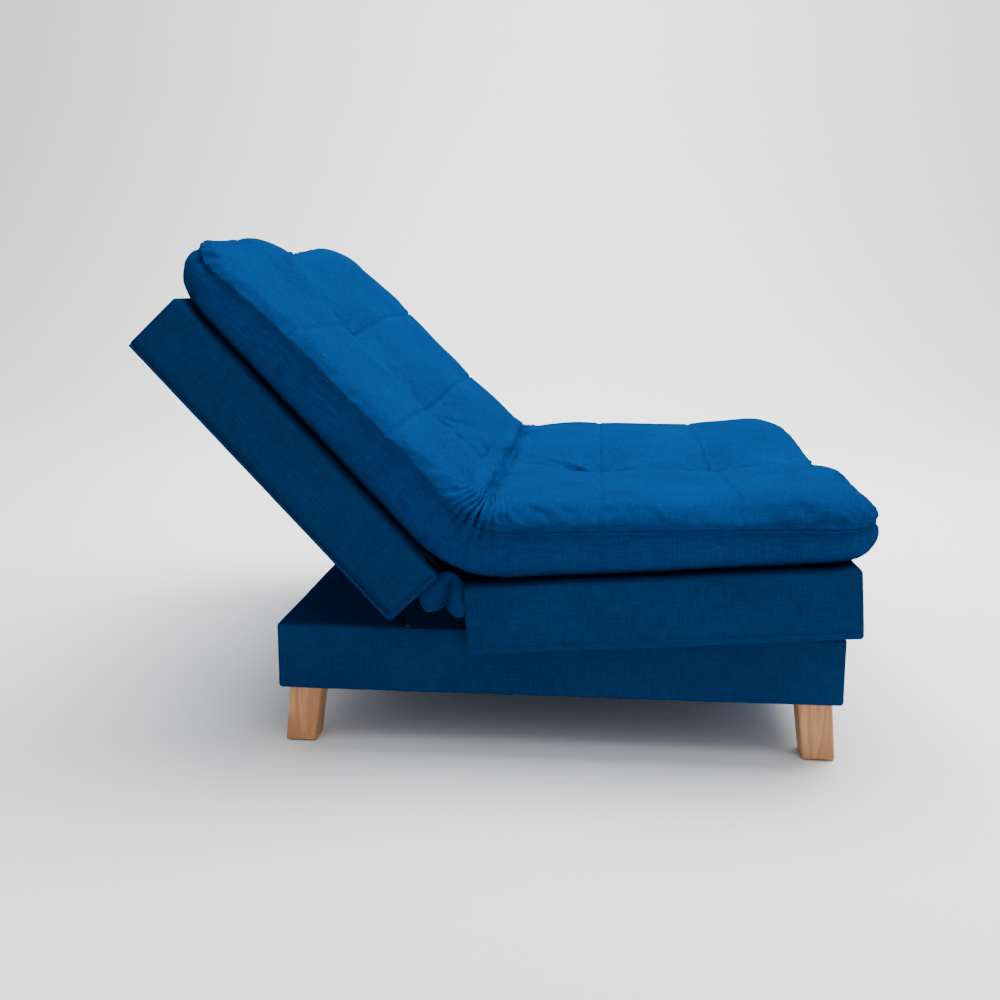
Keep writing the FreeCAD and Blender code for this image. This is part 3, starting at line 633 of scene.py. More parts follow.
@dataclass
class UpholsteredBox:
    """A board box wrapped in cloth: rounded edges, faint hollows."""

    name: str
    low: tuple[float, float, float]
    high: tuple[float, float, float]
    body: str
    node: str
    to_row: Matrix
    radius: float = 0.006
    cut_size: float = 0.022
    slack: float = 0.0008
    proud: float = 0.0018
    seed: float = 1.0
    slots: tuple[tuple[tuple[float, ...], tuple[float, ...]], ...] = ()

    def build(self, palette: Palette) -> bpy.types.Object:
        """Build the cover and dress it.

        Args:
            palette: The finishes.

        Returns:
            The cover.
        """
        low = [place - self.proud for place in self.low]
        high = [place + self.proud for place in self.high]
        mesh = rounded_block(low, high, self.radius, self.cut_size)
        piece = new_piece(self.name, mesh)
        for slot_low, slot_high in self.slots:
            self._cut_slot(piece, slot_low, slot_high)
        places = coordinates(piece)
        places += self._waves(places)
        set_coordinates(piece, places)
        cloth_map(piece, Matrix.Identity(4))
        piece.data.transform(self.to_row)
        palette.dress(piece, Shade.COVER_PAINTED_SHADE)
        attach(piece, self.body)
        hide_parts(self.node)
        return piece

    @staticmethod
    def _cut_slot(piece: bpy.types.Object, low: Sequence[float], high: Sequence[float]) -> None:
        """Open the cover where a hinge bracket reaches into the box."""
        cutter = new_piece("slot_cutter", rounded_block(low, high, 0.001, 1.0))
        modifier = piece.modifiers.new("slot", "BOOLEAN")
        modifier.operation = "DIFFERENCE"
        modifier.solver = "EXACT"
        modifier.object = cutter
        graph = bpy.context.evaluated_depsgraph_get()
        opened = bpy.data.meshes.new_from_object(piece.evaluated_get(graph))
        piece.modifiers.remove(modifier)
        piece.data = opened
        bpy.data.objects.remove(cutter)

    def _waves(self, places: np.ndarray) -> np.ndarray:
        """Give the slight unevenness of stretched cloth."""
        middle = (np.array(self.low) + np.array(self.high)) / 2
        half = (np.array(self.high) - np.array(self.low)) / 2
        share = (places - middle) / half
        outward = np.sign(share) * (np.abs(share) > 0.93)
        rough = noise_at(places, 9.0, self.seed) * 0.7 + noise_at(places, 31.0, self.seed) * 0.3
        return outward * rough[:, None] * self.slack


# --------------------------------------------------------------------------------------------
# Topper


@dataclass(frozen=True)
class Swelling:
    """A round swelling at a half's free end: its place across, its width and its height."""

    across: float
    width: float
    height: float

    def lift(self, across: np.ndarray) -> np.ndarray:
        """Give how far it lifts the crown at each place across."""
        return self.height * bell(across - self.across, self.width)


@dataclass(frozen=True)
class Pillows:
    """How one half of the topper is stuffed.

    The valley runs along the middle of the width, between the left and the right pillows.
    """

    ridge: float
    ridge_loss: float
    loss_zone: tuple[float, float]
    valley: float
    end_valley: float
    left_valley_width: float
    left_end: Swelling
    right_end: Swelling
    left_swell: float
    tuft_depth: float
    end_lean: float


SEAT_PILLOWS = Pillows(ridge=0.124, ridge_loss=0.017, loss_zone=(0.10, 0.42), valley=0.022,
                       end_valley=0.045, left_valley_width=0.170,
                       left_end=Swelling(-0.315, 0.115, 0.021),
                       right_end=Swelling(0.315, 0.115, 0.012), left_swell=0.006,
                       tuft_depth=0.031, end_lean=0.0)
BACK_PILLOWS = Pillows(ridge=0.117, ridge_loss=0.014, loss_zone=(0.05, 0.36), valley=0.028,
                       end_valley=0.050, left_valley_width=0.195,
                       left_end=Swelling(-0.355, 0.100, 0.031),
                       right_end=Swelling(0.260, 0.090, 0.028), left_swell=0.015,
                       tuft_depth=0.036, end_lean=0.012)


@dataclass
class TopperShape:
    """The tufted mattress as a bent slab: a bottom line and heights above it.

    A station is the length along the bottom line, 0 at the crease: below 0 on the seat and
    above 0 on the back.
    """

    seat: BoxPlace
    back: BoxPlace
    bend_radius: float = 0.206
    box_rise: float = 0.100
    seat_depth: float = 0.570
    back_length: float = 0.560
    half_width: float = 0.531
    tuft_rows: tuple[float, ...] = (0.221, 0.422)
    overhang_seat: float = 0.043
    overhang_back: float = 0.056
    crease_height: float = 0.104
    crease_reach: float = 0.038
    side_seam: float = 0.079
    side_seam_fall: float = 0.024
    back_seam_rise: float = 0.012
    tuft_reach: float = 0.088
    right_valley_width: float = 0.170
    end_zone: float = 0.47
    swelling_from_end: float = 0.075
    swelling_length: float = 0.075
    swell_place: float = 0.33
    swell_width: float = 0.14
    row_dip: float = 0.0028
    row_width: float = 0.030
    right_lean: float = 0.007
    crease_pull: float = 0.012
    seat_front: float = field(init=False)
    back_end: float = field(init=False)
    turn: float = field(init=False)
    half_bend: float = field(init=False)
    centre: np.ndarray = field(init=False)

    def __post_init__(self) -> None:
        """Work out the bend that joins the two box faces."""
        seat_matrix, back_matrix = self.seat.matrix(), self.back.matrix()
        first = np.array((seat_matrix @ Vector((0, 0, self.box_rise)))[1:])
        second = np.array((back_matrix @ Vector((0, 0, self.box_rise)))[1:])
        along_seat = np.array((math.cos(self.seat.angle), math.sin(self.seat.angle)))
        along_back = np.array((math.cos(self.back.angle), math.sin(self.back.angle)))
        lengths = np.linalg.solve(np.column_stack([along_seat, -along_back]), second - first)
        meeting = first + along_seat * lengths[0]
        self.turn = self.back.angle - self.seat.angle
        tangent = self.bend_radius * math.tan(self.turn / 2)
        bend_start = meeting - along_seat * tangent
        normal = np.array((-along_seat[1], along_seat[0]))
        self.centre = bend_start + normal * self.bend_radius
        self.half_bend = self.bend_radius * self.turn / 2
        self.seat_front = self.half_bend + self.seat_depth + lengths[0] - tangent
        self.back_end = self.half_bend + self.back_length - lengths[1] - tangent

    def bottom(self, station: np.ndarray) -> tuple[np.ndarray, np.ndarray]:
        """Give the bottom line's points and normals.

        Args:
            station: Lengths along the bottom line.

        Returns:
            The points and the unit normals, as (Y, Z) rows.
        """
        on_bend = np.clip(station, -self.half_bend, self.half_bend)
        angle = self.seat.angle + (on_bend + self.half_bend) / self.bend_radius
        normal = np.stack([-np.sin(angle), np.cos(angle)], axis=1)
        along = np.stack([np.cos(angle), np.sin(angle)], axis=1)
        point = self.centre - normal * self.bend_radius
        point = point + along * (station - on_bend)[:, None]
        return point, normal

    def place(self, across: np.ndarray, station: np.ndarray, height: np.ndarray) -> np.ndarray:
        """Turn across, station and height into row-frame points."""
        point, normal = self.bottom(station)
        spot = point + normal * height[:, None]
        return np.column_stack([across, spot])

    def spot(self, station: float, height: float) -> tuple[float, float, float]:
        """Give one point in the middle of the width."""
        place = self.place(np.zeros(1), np.array([station]), np.array([height]))[0]
        return tuple(float(part) for part in place)

    def nose(self, side: float) -> float:
        """Give the station size of a half's free end."""
        if side < 0:
            return self.seat_front + self.overhang_seat
        return self.back_end + self.overhang_back

    def seam_height(self, station: np.ndarray) -> np.ndarray:
        """Height of the side seam, lower towards the two ends and raised along the back."""
        size = np.abs(station)
        raised = smooth_step(0.05, 0.20, station) * (1.0 - 0.6 * smooth_step(0.45, 0.60, size))
        fall = self.side_seam_fall * (size / 0.6) ** 1.4
        return self.side_seam - fall + self.back_seam_rise * raised

    def level(self, station: np.ndarray) -> np.ndarray:
        """Height of the pillows' ridges, pinched down to the crease."""
        size = np.abs(station)
        seat, back = (pillows.ridge - pillows.ridge_loss * smooth_step(*pillows.loss_zone, size)
                      for pillows in (SEAT_PILLOWS, BACK_PILLOWS))
        ridge = np.where(station < 0, seat, back)
        pinch = np.exp(-(size / self.crease_reach) ** 1.05)
        return ridge - (ridge - self.crease_height) * pinch

    def tuft_pull(self, across: np.ndarray, station: np.ndarray) -> np.ndarray:
        """Give how hard the nearest tuft pulls, 1 at the tuft itself."""
        pull = np.zeros_like(station)
        for row in self.tuft_rows:
            far = np.hypot(across * 0.80, np.abs(station) - row)
            pull = np.maximum(pull, np.exp(-(far / self.tuft_reach) ** 1.05))
        return pull

    def crown(self, across: np.ndarray, station: np.ndarray, side: float) -> np.ndarray:
        """Height of the upper sheet away from its edges.

        Args:
            across: Places across the topper.
            station: Lengths along the bottom line.
            side: -1 for the seat half, 1 for the back half.

        Returns:
            The heights, with the pillows, the valley, the tufts and the crease in them.
        """
        pillows = BACK_PILLOWS if side > 0 else SEAT_PILLOWS
        size = np.abs(station)
        nose = self.nose(side)
        away = smooth_step(0.0, 0.08, size)
        at_end = smooth_step(self.end_zone, nose, size)
        valley = pillows.valley + (pillows.end_valley - pillows.valley) * at_end
        width = np.where(across < 0, pillows.left_valley_width, self.right_valley_width)
        dip = valley * np.exp(-(np.abs(across) / width) ** 2.8) * (0.55 + 0.45 * away)
        rows = np.zeros_like(station)
        for row in self.tuft_rows:
            rows = np.maximum(rows, bell(size - row, self.row_width))
        seam_dip = self.row_dip * rows * (1.0 - bell(across, 0.10))
        swelling = np.where(across < 0, pillows.left_end.lift(across),
                            pillows.right_end.lift(across))
        swelling *= bell(size - (nose - self.swelling_from_end), self.swelling_length)
        middle = bell(across + self.swell_place, self.swell_width) * (across < 0)
        middle = middle * (1.0 - 0.5 * rows) * away * smooth_step(nose, nose - 0.14, size)
        lean = (self.right_lean + pillows.end_lean * smooth_step(0.38, nose, size)) * away
        lean = lean * smooth_step(0.10, 0.32, across)
        pull = pillows.tuft_depth * self.tuft_pull(across, station)
        pull += self.crease_pull * bell(across, 0.20) * np.exp(-size / 0.045)
        lifted = swelling + pillows.left_swell * middle
        return self.level(station) - dip - seam_dip - pull + lifted - lean


@dataclass
class TopperHalf:
    """One half of the topper, from its free end to the crease."""

    name: str
    shape: TopperShape
    side: float
    body: str
    node: str
    seed: float
    bend_reach: float
    pucker: float
    shoulder: tuple[float, float]
    corner_pleat: float
    gather_spread: float
    cells_across: int = 236
    cells_along: int = 138
    frames: int = 14
    reach: float = 0.0045
    flat_share: tuple[float, float] = (0.76, 0.82)
    tuck: float = 0.62
    wall_start: float = 0.30
    rest_height: float = 0.005
    corner_setback: float = 0.011
    seam_groove: float = 0.0056
    seam_groove_width: float = 0.0055
    cross_groove: float = 0.0035
    cross_groove_width: float = 0.0036
    tuft_pleat: float = 0.0084
    tuft_pleat_reach: float = 0.048
    lump: float = 0.0028
    slack: float = 0.0010
    top_gather: float = 0.0125
    border_gather: float = 0.0058
    welt_radius: float = 0.0027

    def build(self, palette: Palette) -> list[bpy.types.Object]:
        """Build, inflate, stitch and dress this half and its seam welt.

        Args:
            palette: The finishes.

        Returns:
            The finished half and its welt.
        """
        piece = self._blank()
        self._inflate(piece)
        self._stitch(piece)
        welt = self._welt(piece)
        self._close(piece)
        for item in (piece, welt):
            palette.dress(item, Shade.TOPPER_PAINTED_LIGHT)
            self.shape.spot(self.side * 0.012, 0.06)
            self.shape.spot(self.side * self.bend_reach, 0.06)
            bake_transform(item)
        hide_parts(self.node, "topper_fold")
        return [piece, welt]

    def _blank(self) -> bpy.types.Object:
        """Make the sewn shape: an upper and a lower sheet that meet at the side seam."""
        mesh = bmesh.new()
        uv_layer = mesh.loops.layers.uv.new("cloth")
        layers = [mesh.verts.layers.float.new(name)
                  for name in ("across", "station", "drop", "loop")]
        for upper in (True, False):
            grid = bmesh.ops.create_grid(mesh, x_segments=self.cells_across,
                                         y_segments=self.cells_along, size=1.0)
            verts = grid["verts"]
            flat = np.array([vert.co[:] for vert in verts])
            across, along = flat[:, 0], (flat[:, 1] + 1.0) / 2
            spots, facts = self._sheet(across, along, upper)
            for vert, spot, fact in zip(verts, spots, facts):
                vert.co = spot
                for layer, number in zip(layers, fact):
                    vert[layer] = number
            for face in {face for vert in verts for face in vert.link_faces}:
                for loop in face.loops:
                    vert = loop.vert
                    loop[uv_layer].uv = (vert[layers[0]], vert[layers[1]])
        bmesh.ops.remove_doubles(mesh, verts=mesh.verts, dist=0.00005)
        bmesh.ops.recalc_face_normals(mesh, faces=mesh.faces)
        return new_piece(self.name, mesh)

    def _plan(self, across: np.ndarray, along: np.ndarray) -> tuple[np.ndarray, ...]:
        """Find how far down its shoulder each grid cell is, and which way it faces.

        Args:
            across: -1 to 1 across the topper.
            along: 0 at the crease to 1 at the free end.

        Returns:
            The flat part of across and station, how far down, and the way out in the plan.
        """
        split_x, split_s = self.flat_share
        size = np.abs(across)
        down_x = np.clip((size - split_x) / (1 - split_x), 0.0, 1.0)
        down_s = np.clip((along - split_s) / (1 - split_s), 0.0, 1.0)
        down = np.maximum(down_x, down_s)
        turn = math.pi / 4 * np.minimum(down_x, down_s) / np.maximum(down, 1e-9)
        turn = np.where(down_x >= down_s, turn, math.pi / 2 - turn)
        flat_x = (self.shape.half_width - self.shoulder[0]) * np.minimum(size / split_x, 1.0)
        flat_s = (self.shape.nose(self.side) - self.shoulder[1]) * np.minimum(along / split_s, 1)
        return flat_x, flat_s, down, turn

    def _sheet(self, across: np.ndarray, along: np.ndarray,
               upper: bool) -> tuple[np.ndarray, np.ndarray]:
        """Shape one sheet.

        Args:
            across: -1 to 1 across the topper.
            along: 0 at the crease to 1 at the free end.
            upper: Whether this is the crowned sheet or the one underneath.

        Returns:
            The places, and the sewing facts of each.
        """
        shape = self.shape
        flat_x, flat_s, down, turn = self._plan(across, along)
        if upper:
            out = np.sin(down * math.pi / 2) ** 0.86
            corner = np.sin(2.0 * turn) * smooth_step(0.0, 0.35, down)
            fall = np.cos(down * math.pi / 2) ** (0.54 + 0.42 * corner)
        else:
            wall = np.clip((down - self.wall_start) / (1 - self.wall_start), 0.0, 1.0)
            flat_out = np.minimum(down / self.wall_start, 1.0) * self.tuck
            out = flat_out + (1 - self.tuck) * np.sin(wall * math.pi / 2) ** 0.9
            fall = np.cos(wall * math.pi / 2) ** 0.95
        x = flat_x + self.shoulder[0] * out * np.cos(turn)
        size = flat_s + self.shoulder[1] * out * np.sin(turn)
        if self.side > 0:
            outward = smooth_step(0.36, 0.52, x) * smooth_step(0.80, 1.0, along)
            size = size - self.corner_setback * outward
        station = size * self.side
        seam = shape.seam_height(station)
        if upper:
            top = shape.crown(x, station, self.side)
            height = seam + (top - seam) * fall
            drop = down
        else:
            height = seam + (self.rest_height - seam) * fall
            drop = 2.0 - down
        loop = np.where(down > 0.9999, np.where(np.abs(across) > 0.9999,
                                                along, 2.0 - np.abs(across)), -9.0)
        loop = np.where(loop > -1.0, loop * np.where(across < 0, 1.0, -1.0)
                        + np.where(across < 0, 0.0, 4.0), -9.0)
        facts = np.column_stack([np.sign(across) * (x + down * 0.03 * np.cos(turn)),
                                 station, drop, loop])
        return shape.place(np.sign(across) * x, station, height), facts

    def _facts(self, piece: bpy.types.Object) -> dict[str, np.ndarray]:
        """Read the sewing facts that the blank stored on its vertices."""
        facts = {}
        for name in ("across", "station", "drop", "loop"):
            numbers = np.empty(len(piece.data.vertices))
            piece.data.attributes[name].data.foreach_get("value", numbers)
            facts[name] = numbers
        return facts

    def _inflate(self, piece: bpy.types.Object) -> None:
        """Fill the cover: blow it up as cloth, held at its underside, tufts and seams."""
        before = coordinates(piece)
        held = self._held(self._facts(piece))
        group = piece.vertex_groups.new(name="held")
        for level in np.unique(held):
            chosen = np.nonzero(held == level)[0].tolist()
            group.add(chosen, float(level), "REPLACE")
        cloth = piece.modifiers.new("fill", "CLOTH")
        cloth.settings.quality = 4
        cloth.settings.mass = 0.3
        cloth.settings.tension_stiffness = 12.0
        cloth.settings.compression_stiffness = 12.0
        cloth.settings.shear_stiffness = 4.0
        cloth.settings.bending_stiffness = 0.35
        cloth.settings.shrink_min = -0.035
        cloth.settings.use_pressure = True
        cloth.settings.uniform_pressure_force = 7.0
        cloth.settings.effector_weights.gravity = 0.0
        cloth.settings.vertex_group_mass = "held"
        cloth.settings.pin_stiffness = 1.0
        cloth.collision_settings.use_collision = False
        cloth.point_cache.frame_end = self.frames
        scene = bpy.context.scene
        for frame_number in range(1, self.frames + 1):
            scene.frame_set(frame_number)
        graph = bpy.context.evaluated_depsgraph_get()
        settled = piece.evaluated_get(graph).to_mesh()
        after = np.empty(len(before) * 3)
        settled.vertices.foreach_get("co", after)
        piece.evaluated_get(graph).to_mesh_clear()
        move = after.reshape(-1, 3) - before
        length = np.linalg.norm(move, axis=1)
        LOG.info("%s moved %.4f on average, %.4f at most", piece.name, length.mean(),
                 length.max())
        capped = self.reach * np.tanh(length / self.reach)
        move *= (capped / np.maximum(length, 1e-9))[:, None]
        piece.modifiers.remove(cloth)
        piece.vertex_groups.remove(group)
        scene.frame_set(1)
        set_coordinates(piece, before + move)

    def _held(self, facts: dict[str, np.ndarray]) -> np.ndarray:
        """Give how firmly the sewing holds each point, in steps of a tenth."""
        size = np.abs(facts["station"])
        hold = smooth_step(1.10, 1.75, facts["drop"])
        hold = np.maximum(hold, 0.9 * bell(facts["drop"] - 1.0, 0.07))
        for row in self.shape.tuft_rows:
            far = np.hypot(facts["across"], size - row)
            tuft = np.where(facts["drop"] < 0.5, bell(far, 0.022), 0.0)
            hold = np.maximum(hold, tuft)
        hold = np.maximum(hold, bell(size, 0.012))
        return np.round(np.clip(hold, 0.0, 1.0), 1)

    def _stitch(self, piece: bpy.types.Object) -> None:
        """Draw in the seams: grooves, puckers, pleats at the tufts, gathers at the crease."""
        facts = self._facts(piece)
        places = coordinates(piece)
        normals = np.empty(len(places) * 3)
        piece.data.vertices.foreach_get("normal", normals)
        normals = normals.reshape(-1, 3)
        lift = (self._side_seam(facts) + self._cross_seams(facts) + self._pleats(facts)
                + self._corner_pleats(facts) + self._rumples(facts))
        lift *= smooth_step(0.0, 0.010, np.abs(facts["station"]))
        lift += self._gathers(facts)
        normals[np.abs(facts["station"]) < 1e-5, 1:] = self._crease_way()
        set_coordinates(piece, places + normals * lift[:, None])

    def _crease_way(self) -> np.ndarray:
        """Give the way out of the slab at the crease, the same for both halves."""
        return self.shape.bottom(np.zeros(1))[1][0]

    def _seam_off(self, facts: dict[str, np.ndarray]) -> np.ndarray:
        """Give the length from each point to the side seam, below 0 under it."""
        off = 1.0 - facts["drop"]
        return np.where(off > 0, off * 0.125, off * 0.095)

    def _side_seam(self, facts: dict[str, np.ndarray]) -> np.ndarray:
        """Give the puckers that the side seam gathers, and its groove."""
        off = self._seam_off(facts)
        line = np.column_stack([facts["station"], facts["across"], off * 0.25])
        fine = noise_at(line, 120.0, self.seed)
        broad = noise_at(line, 42.0, self.seed + 4.0)
        above = self.pucker * (fine * 0.8 + broad * 0.9) * np.exp(-np.abs(off) / 0.042)
        below = 0.35 * self.pucker * broad * np.exp(-np.abs(off) / 0.035)
        groove = self.seam_groove * bell(off, self.seam_groove_width)
        return np.where(off > 0, above, below) - groove

    def _cross_seams(self, facts: dict[str, np.ndarray]) -> np.ndarray:
        """Give the seams that run over the pillows from tuft to side seam."""
        size = np.abs(facts["station"])
        line = np.column_stack([facts["across"], facts["station"] * 0.3, size * 0])
        sway = noise_at(line, 5.0, self.seed + 9.0) * 0.004
        lift = np.zeros_like(size)
        for number, row in enumerate(self.shape.tuft_rows):
            off = size - row - sway
            fine = noise_at(line, 90.0, self.seed + 20.0 + number)
            lift -= self.cross_groove * bell(off, self.cross_groove_width)
            lift += 0.0007 * bell(np.abs(off) - 0.0065, 0.004)
            lift += 0.0007 * fine * np.exp(-np.abs(off) / 0.012)
        return np.where(facts["drop"] < 1.0, lift, 0.0)

    def _pleats(self, facts: dict[str, np.ndarray]) -> np.ndarray:
        """Give the pleats that spread from each tuft, longer towards the crease."""
        lift = np.zeros_like(facts["across"])
        for number, row in enumerate(self.shape.tuft_rows):
            ahead = np.abs(facts["station"]) - row
            far = np.hypot(facts["across"], ahead)
            turn = np.arctan2(ahead, facts["across"])
            ring = np.column_stack([np.cos(turn) * 1.9, np.sin(turn) * 1.9, far * 4.0])
            folds = noise_at(ring, 2.2, self.seed + 31.0 + 7.0 * number)
            folds = 1.3 * folds - 0.8 * np.abs(folds)
            toward = 1.0 + 1.1 * smooth_step(0.1, 1.0, -np.sin(turn)) * (number == 0)
            fade = np.exp(-far / (self.tuft_pleat_reach * toward))
            lift += self.tuft_pleat * folds * toward * fade * smooth_step(0.004, 0.034, far)
        return np.where(facts["drop"] < 0.9, lift, 0.0)

    def _corner_pleats(self, facts: dict[str, np.ndarray]) -> np.ndarray:
        """Give the pinched pleats where the seam turns the two end corners."""
        flat_x = self.shape.half_width - self.shoulder[0]
        flat_s = self.shape.nose(self.side) - self.shoulder[1]
        out_x = np.maximum(np.abs(facts["across"]) - flat_x, 1e-6)
        out_s = np.maximum(np.abs(facts["station"]) - flat_s, 0.0)
        turn = np.arctan2(out_s, out_x)
        folds = (1.0 - np.abs(np.sin(turn * 8.0 + 0.6))) ** 1.6
        zone = bell(turn - 0.62, 0.42) * smooth_step(0.30, 0.80, facts["drop"])
        zone *= smooth_step(1.45, 1.0, facts["drop"])
        return -self.corner_pleat * folds * zone

    def _rumples(self, facts: dict[str, np.ndarray]) -> np.ndarray:
        """Give the soft lumps of the filling and the slack of the cloth."""
        place = np.column_stack([facts["across"], facts["station"], facts["drop"] * 0.06])
        lumps = noise_at(place, 8.0, self.seed + 70.0) * self.lump
        slack = noise_at(place * (1.0, 0.4, 1.0), 26.0, self.seed + 77.0) * self.slack
        border = 0.45 + 0.55 * smooth_step(1.15, 0.9, facts["drop"])
        return (lumps + slack) * border

    def _gathers(self, facts: dict[str, np.ndarray]) -> np.ndarray:
        """Give the folds that the bend squeezes up beside the crease and down the border."""
        drop = facts["drop"]
        size = np.abs(facts["station"])
        outer = smooth_step(0.28, 0.42, np.abs(facts["across"]))
        from_ridge = np.clip(np.abs(facts["across"]) - 0.33, 0.0, 0.10) \
            + 0.125 * np.clip(drop, 0.0, 1.25)
        place = np.column_stack([facts["across"] * 2.0, facts["station"] * 0.8, drop * 0.11])
        sway = noise_at(place, 9.0, 51.0) * 0.8 * smooth_step(0.0, 0.03, size)
        spread = 0.006 + 0.080 * from_ridge
        folds = 0.60 - np.abs(np.sin(math.pi * (facts["station"] / spread + sway))) ** 0.8
        small = noise_at(np.column_stack([facts["station"] / spread, drop * 0.5, size * 0]),
                         2.3, 57.0)
        reach = (0.026 + 0.28 * from_ridge) * self.gather_spread
        above = (-self.top_gather * folds + 0.0030 * small) * np.exp(-(size / reach) ** 1.6)
        below = (-self.border_gather * folds + 0.0020 * small) * np.exp(-(size / 0.070) ** 2)
        below *= smooth_step(1.9, 1.1, drop)
        side = np.where(drop < 1.0, above * smooth_step(-0.04, 0.12, from_ridge), below) * outer
        strip = np.column_stack([facts["across"], facts["station"] * 0.55, drop * 0.1])
        wave = noise_at(strip, 15.0, 61.0)
        inner = 0.0070 * (wave - 0.5 * np.abs(wave)) * np.exp(-size / 0.060)
        return side + np.where(drop < 1.0, inner, 0.0) * (1.0 - outer)

    def _welt(self, piece: bpy.types.Object) -> bpy.types.Object:
        """Lay the corded welt along the side seam."""
        facts = self._facts(piece)
        order = np.argsort(facts["loop"])
        order = order[facts["loop"][order] > -1.0]
        return tube(f"{self.name}_welt", coordinates(piece)[order],
                    self.welt_radius, 8, self.seed)

    @staticmethod
    def _close(piece: bpy.types.Object) -> None:
        """Close the crease end with a face that the other half hides."""
        mesh = bmesh.new()
        mesh.from_mesh(piece.data)
        rim = [edge for edge in mesh.edges if edge.is_boundary]
        for edge in rim:
            edge.smooth = False
        made = bmesh.ops.holes_fill(mesh, edges=rim, sides=0)
        bmesh.ops.triangulate(mesh, faces=made["faces"])
        bmesh.ops.recalc_face_normals(mesh, faces=mesh.faces)
        mesh.to_mesh(piece.data)
        mesh.free()


# --------------------------------------------------------------------------------------------
# Piping, seams and gussets


@dataclass
class BoxTrim:
    """Welts and seams sewn along the edges of a box's cover."""

    name: str
    body: str
    to_row: Matrix
    lines: tuple[tuple[tuple[float, float, float], ...], ...]
    radius: float
    nodes: tuple[str, ...] = ()
    step: float = 0.010

    def build(self, palette: Palette) -> bpy.types.Object:
        """Build every line as one piece and dress it.

        Args:
            palette: The finishes.

        Returns:
            The trim.
        """
        tubes = []
        for number, line in enumerate(self.lines):
            corners = np.array([(self.to_row @ Vector(point))[:] for point in line])
            path = np.vstack([self._between(first, second)
                              for first, second in zip(corners, corners[1:])] + [corners[-1:]])
            tubes.append(tube(f"{self.name}_{number}", path, self.radius, 10, number + 2.0))
        piece = join(tubes, self.name)
        palette.dress(piece, Shade.COVER_PAINTED_SHADE)
        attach(piece, self.body)
        if self.nodes:
            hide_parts(*self.nodes)
        return piece

    def _between(self, first: np.ndarray, second: np.ndarray) -> np.ndarray:
        """Give even points from one corner up to the next."""
        count = max(1, int(np.linalg.norm(second - first) / self.step))
        share = (np.arange(count) / count)[:, None]
        return first + (second - first) * share


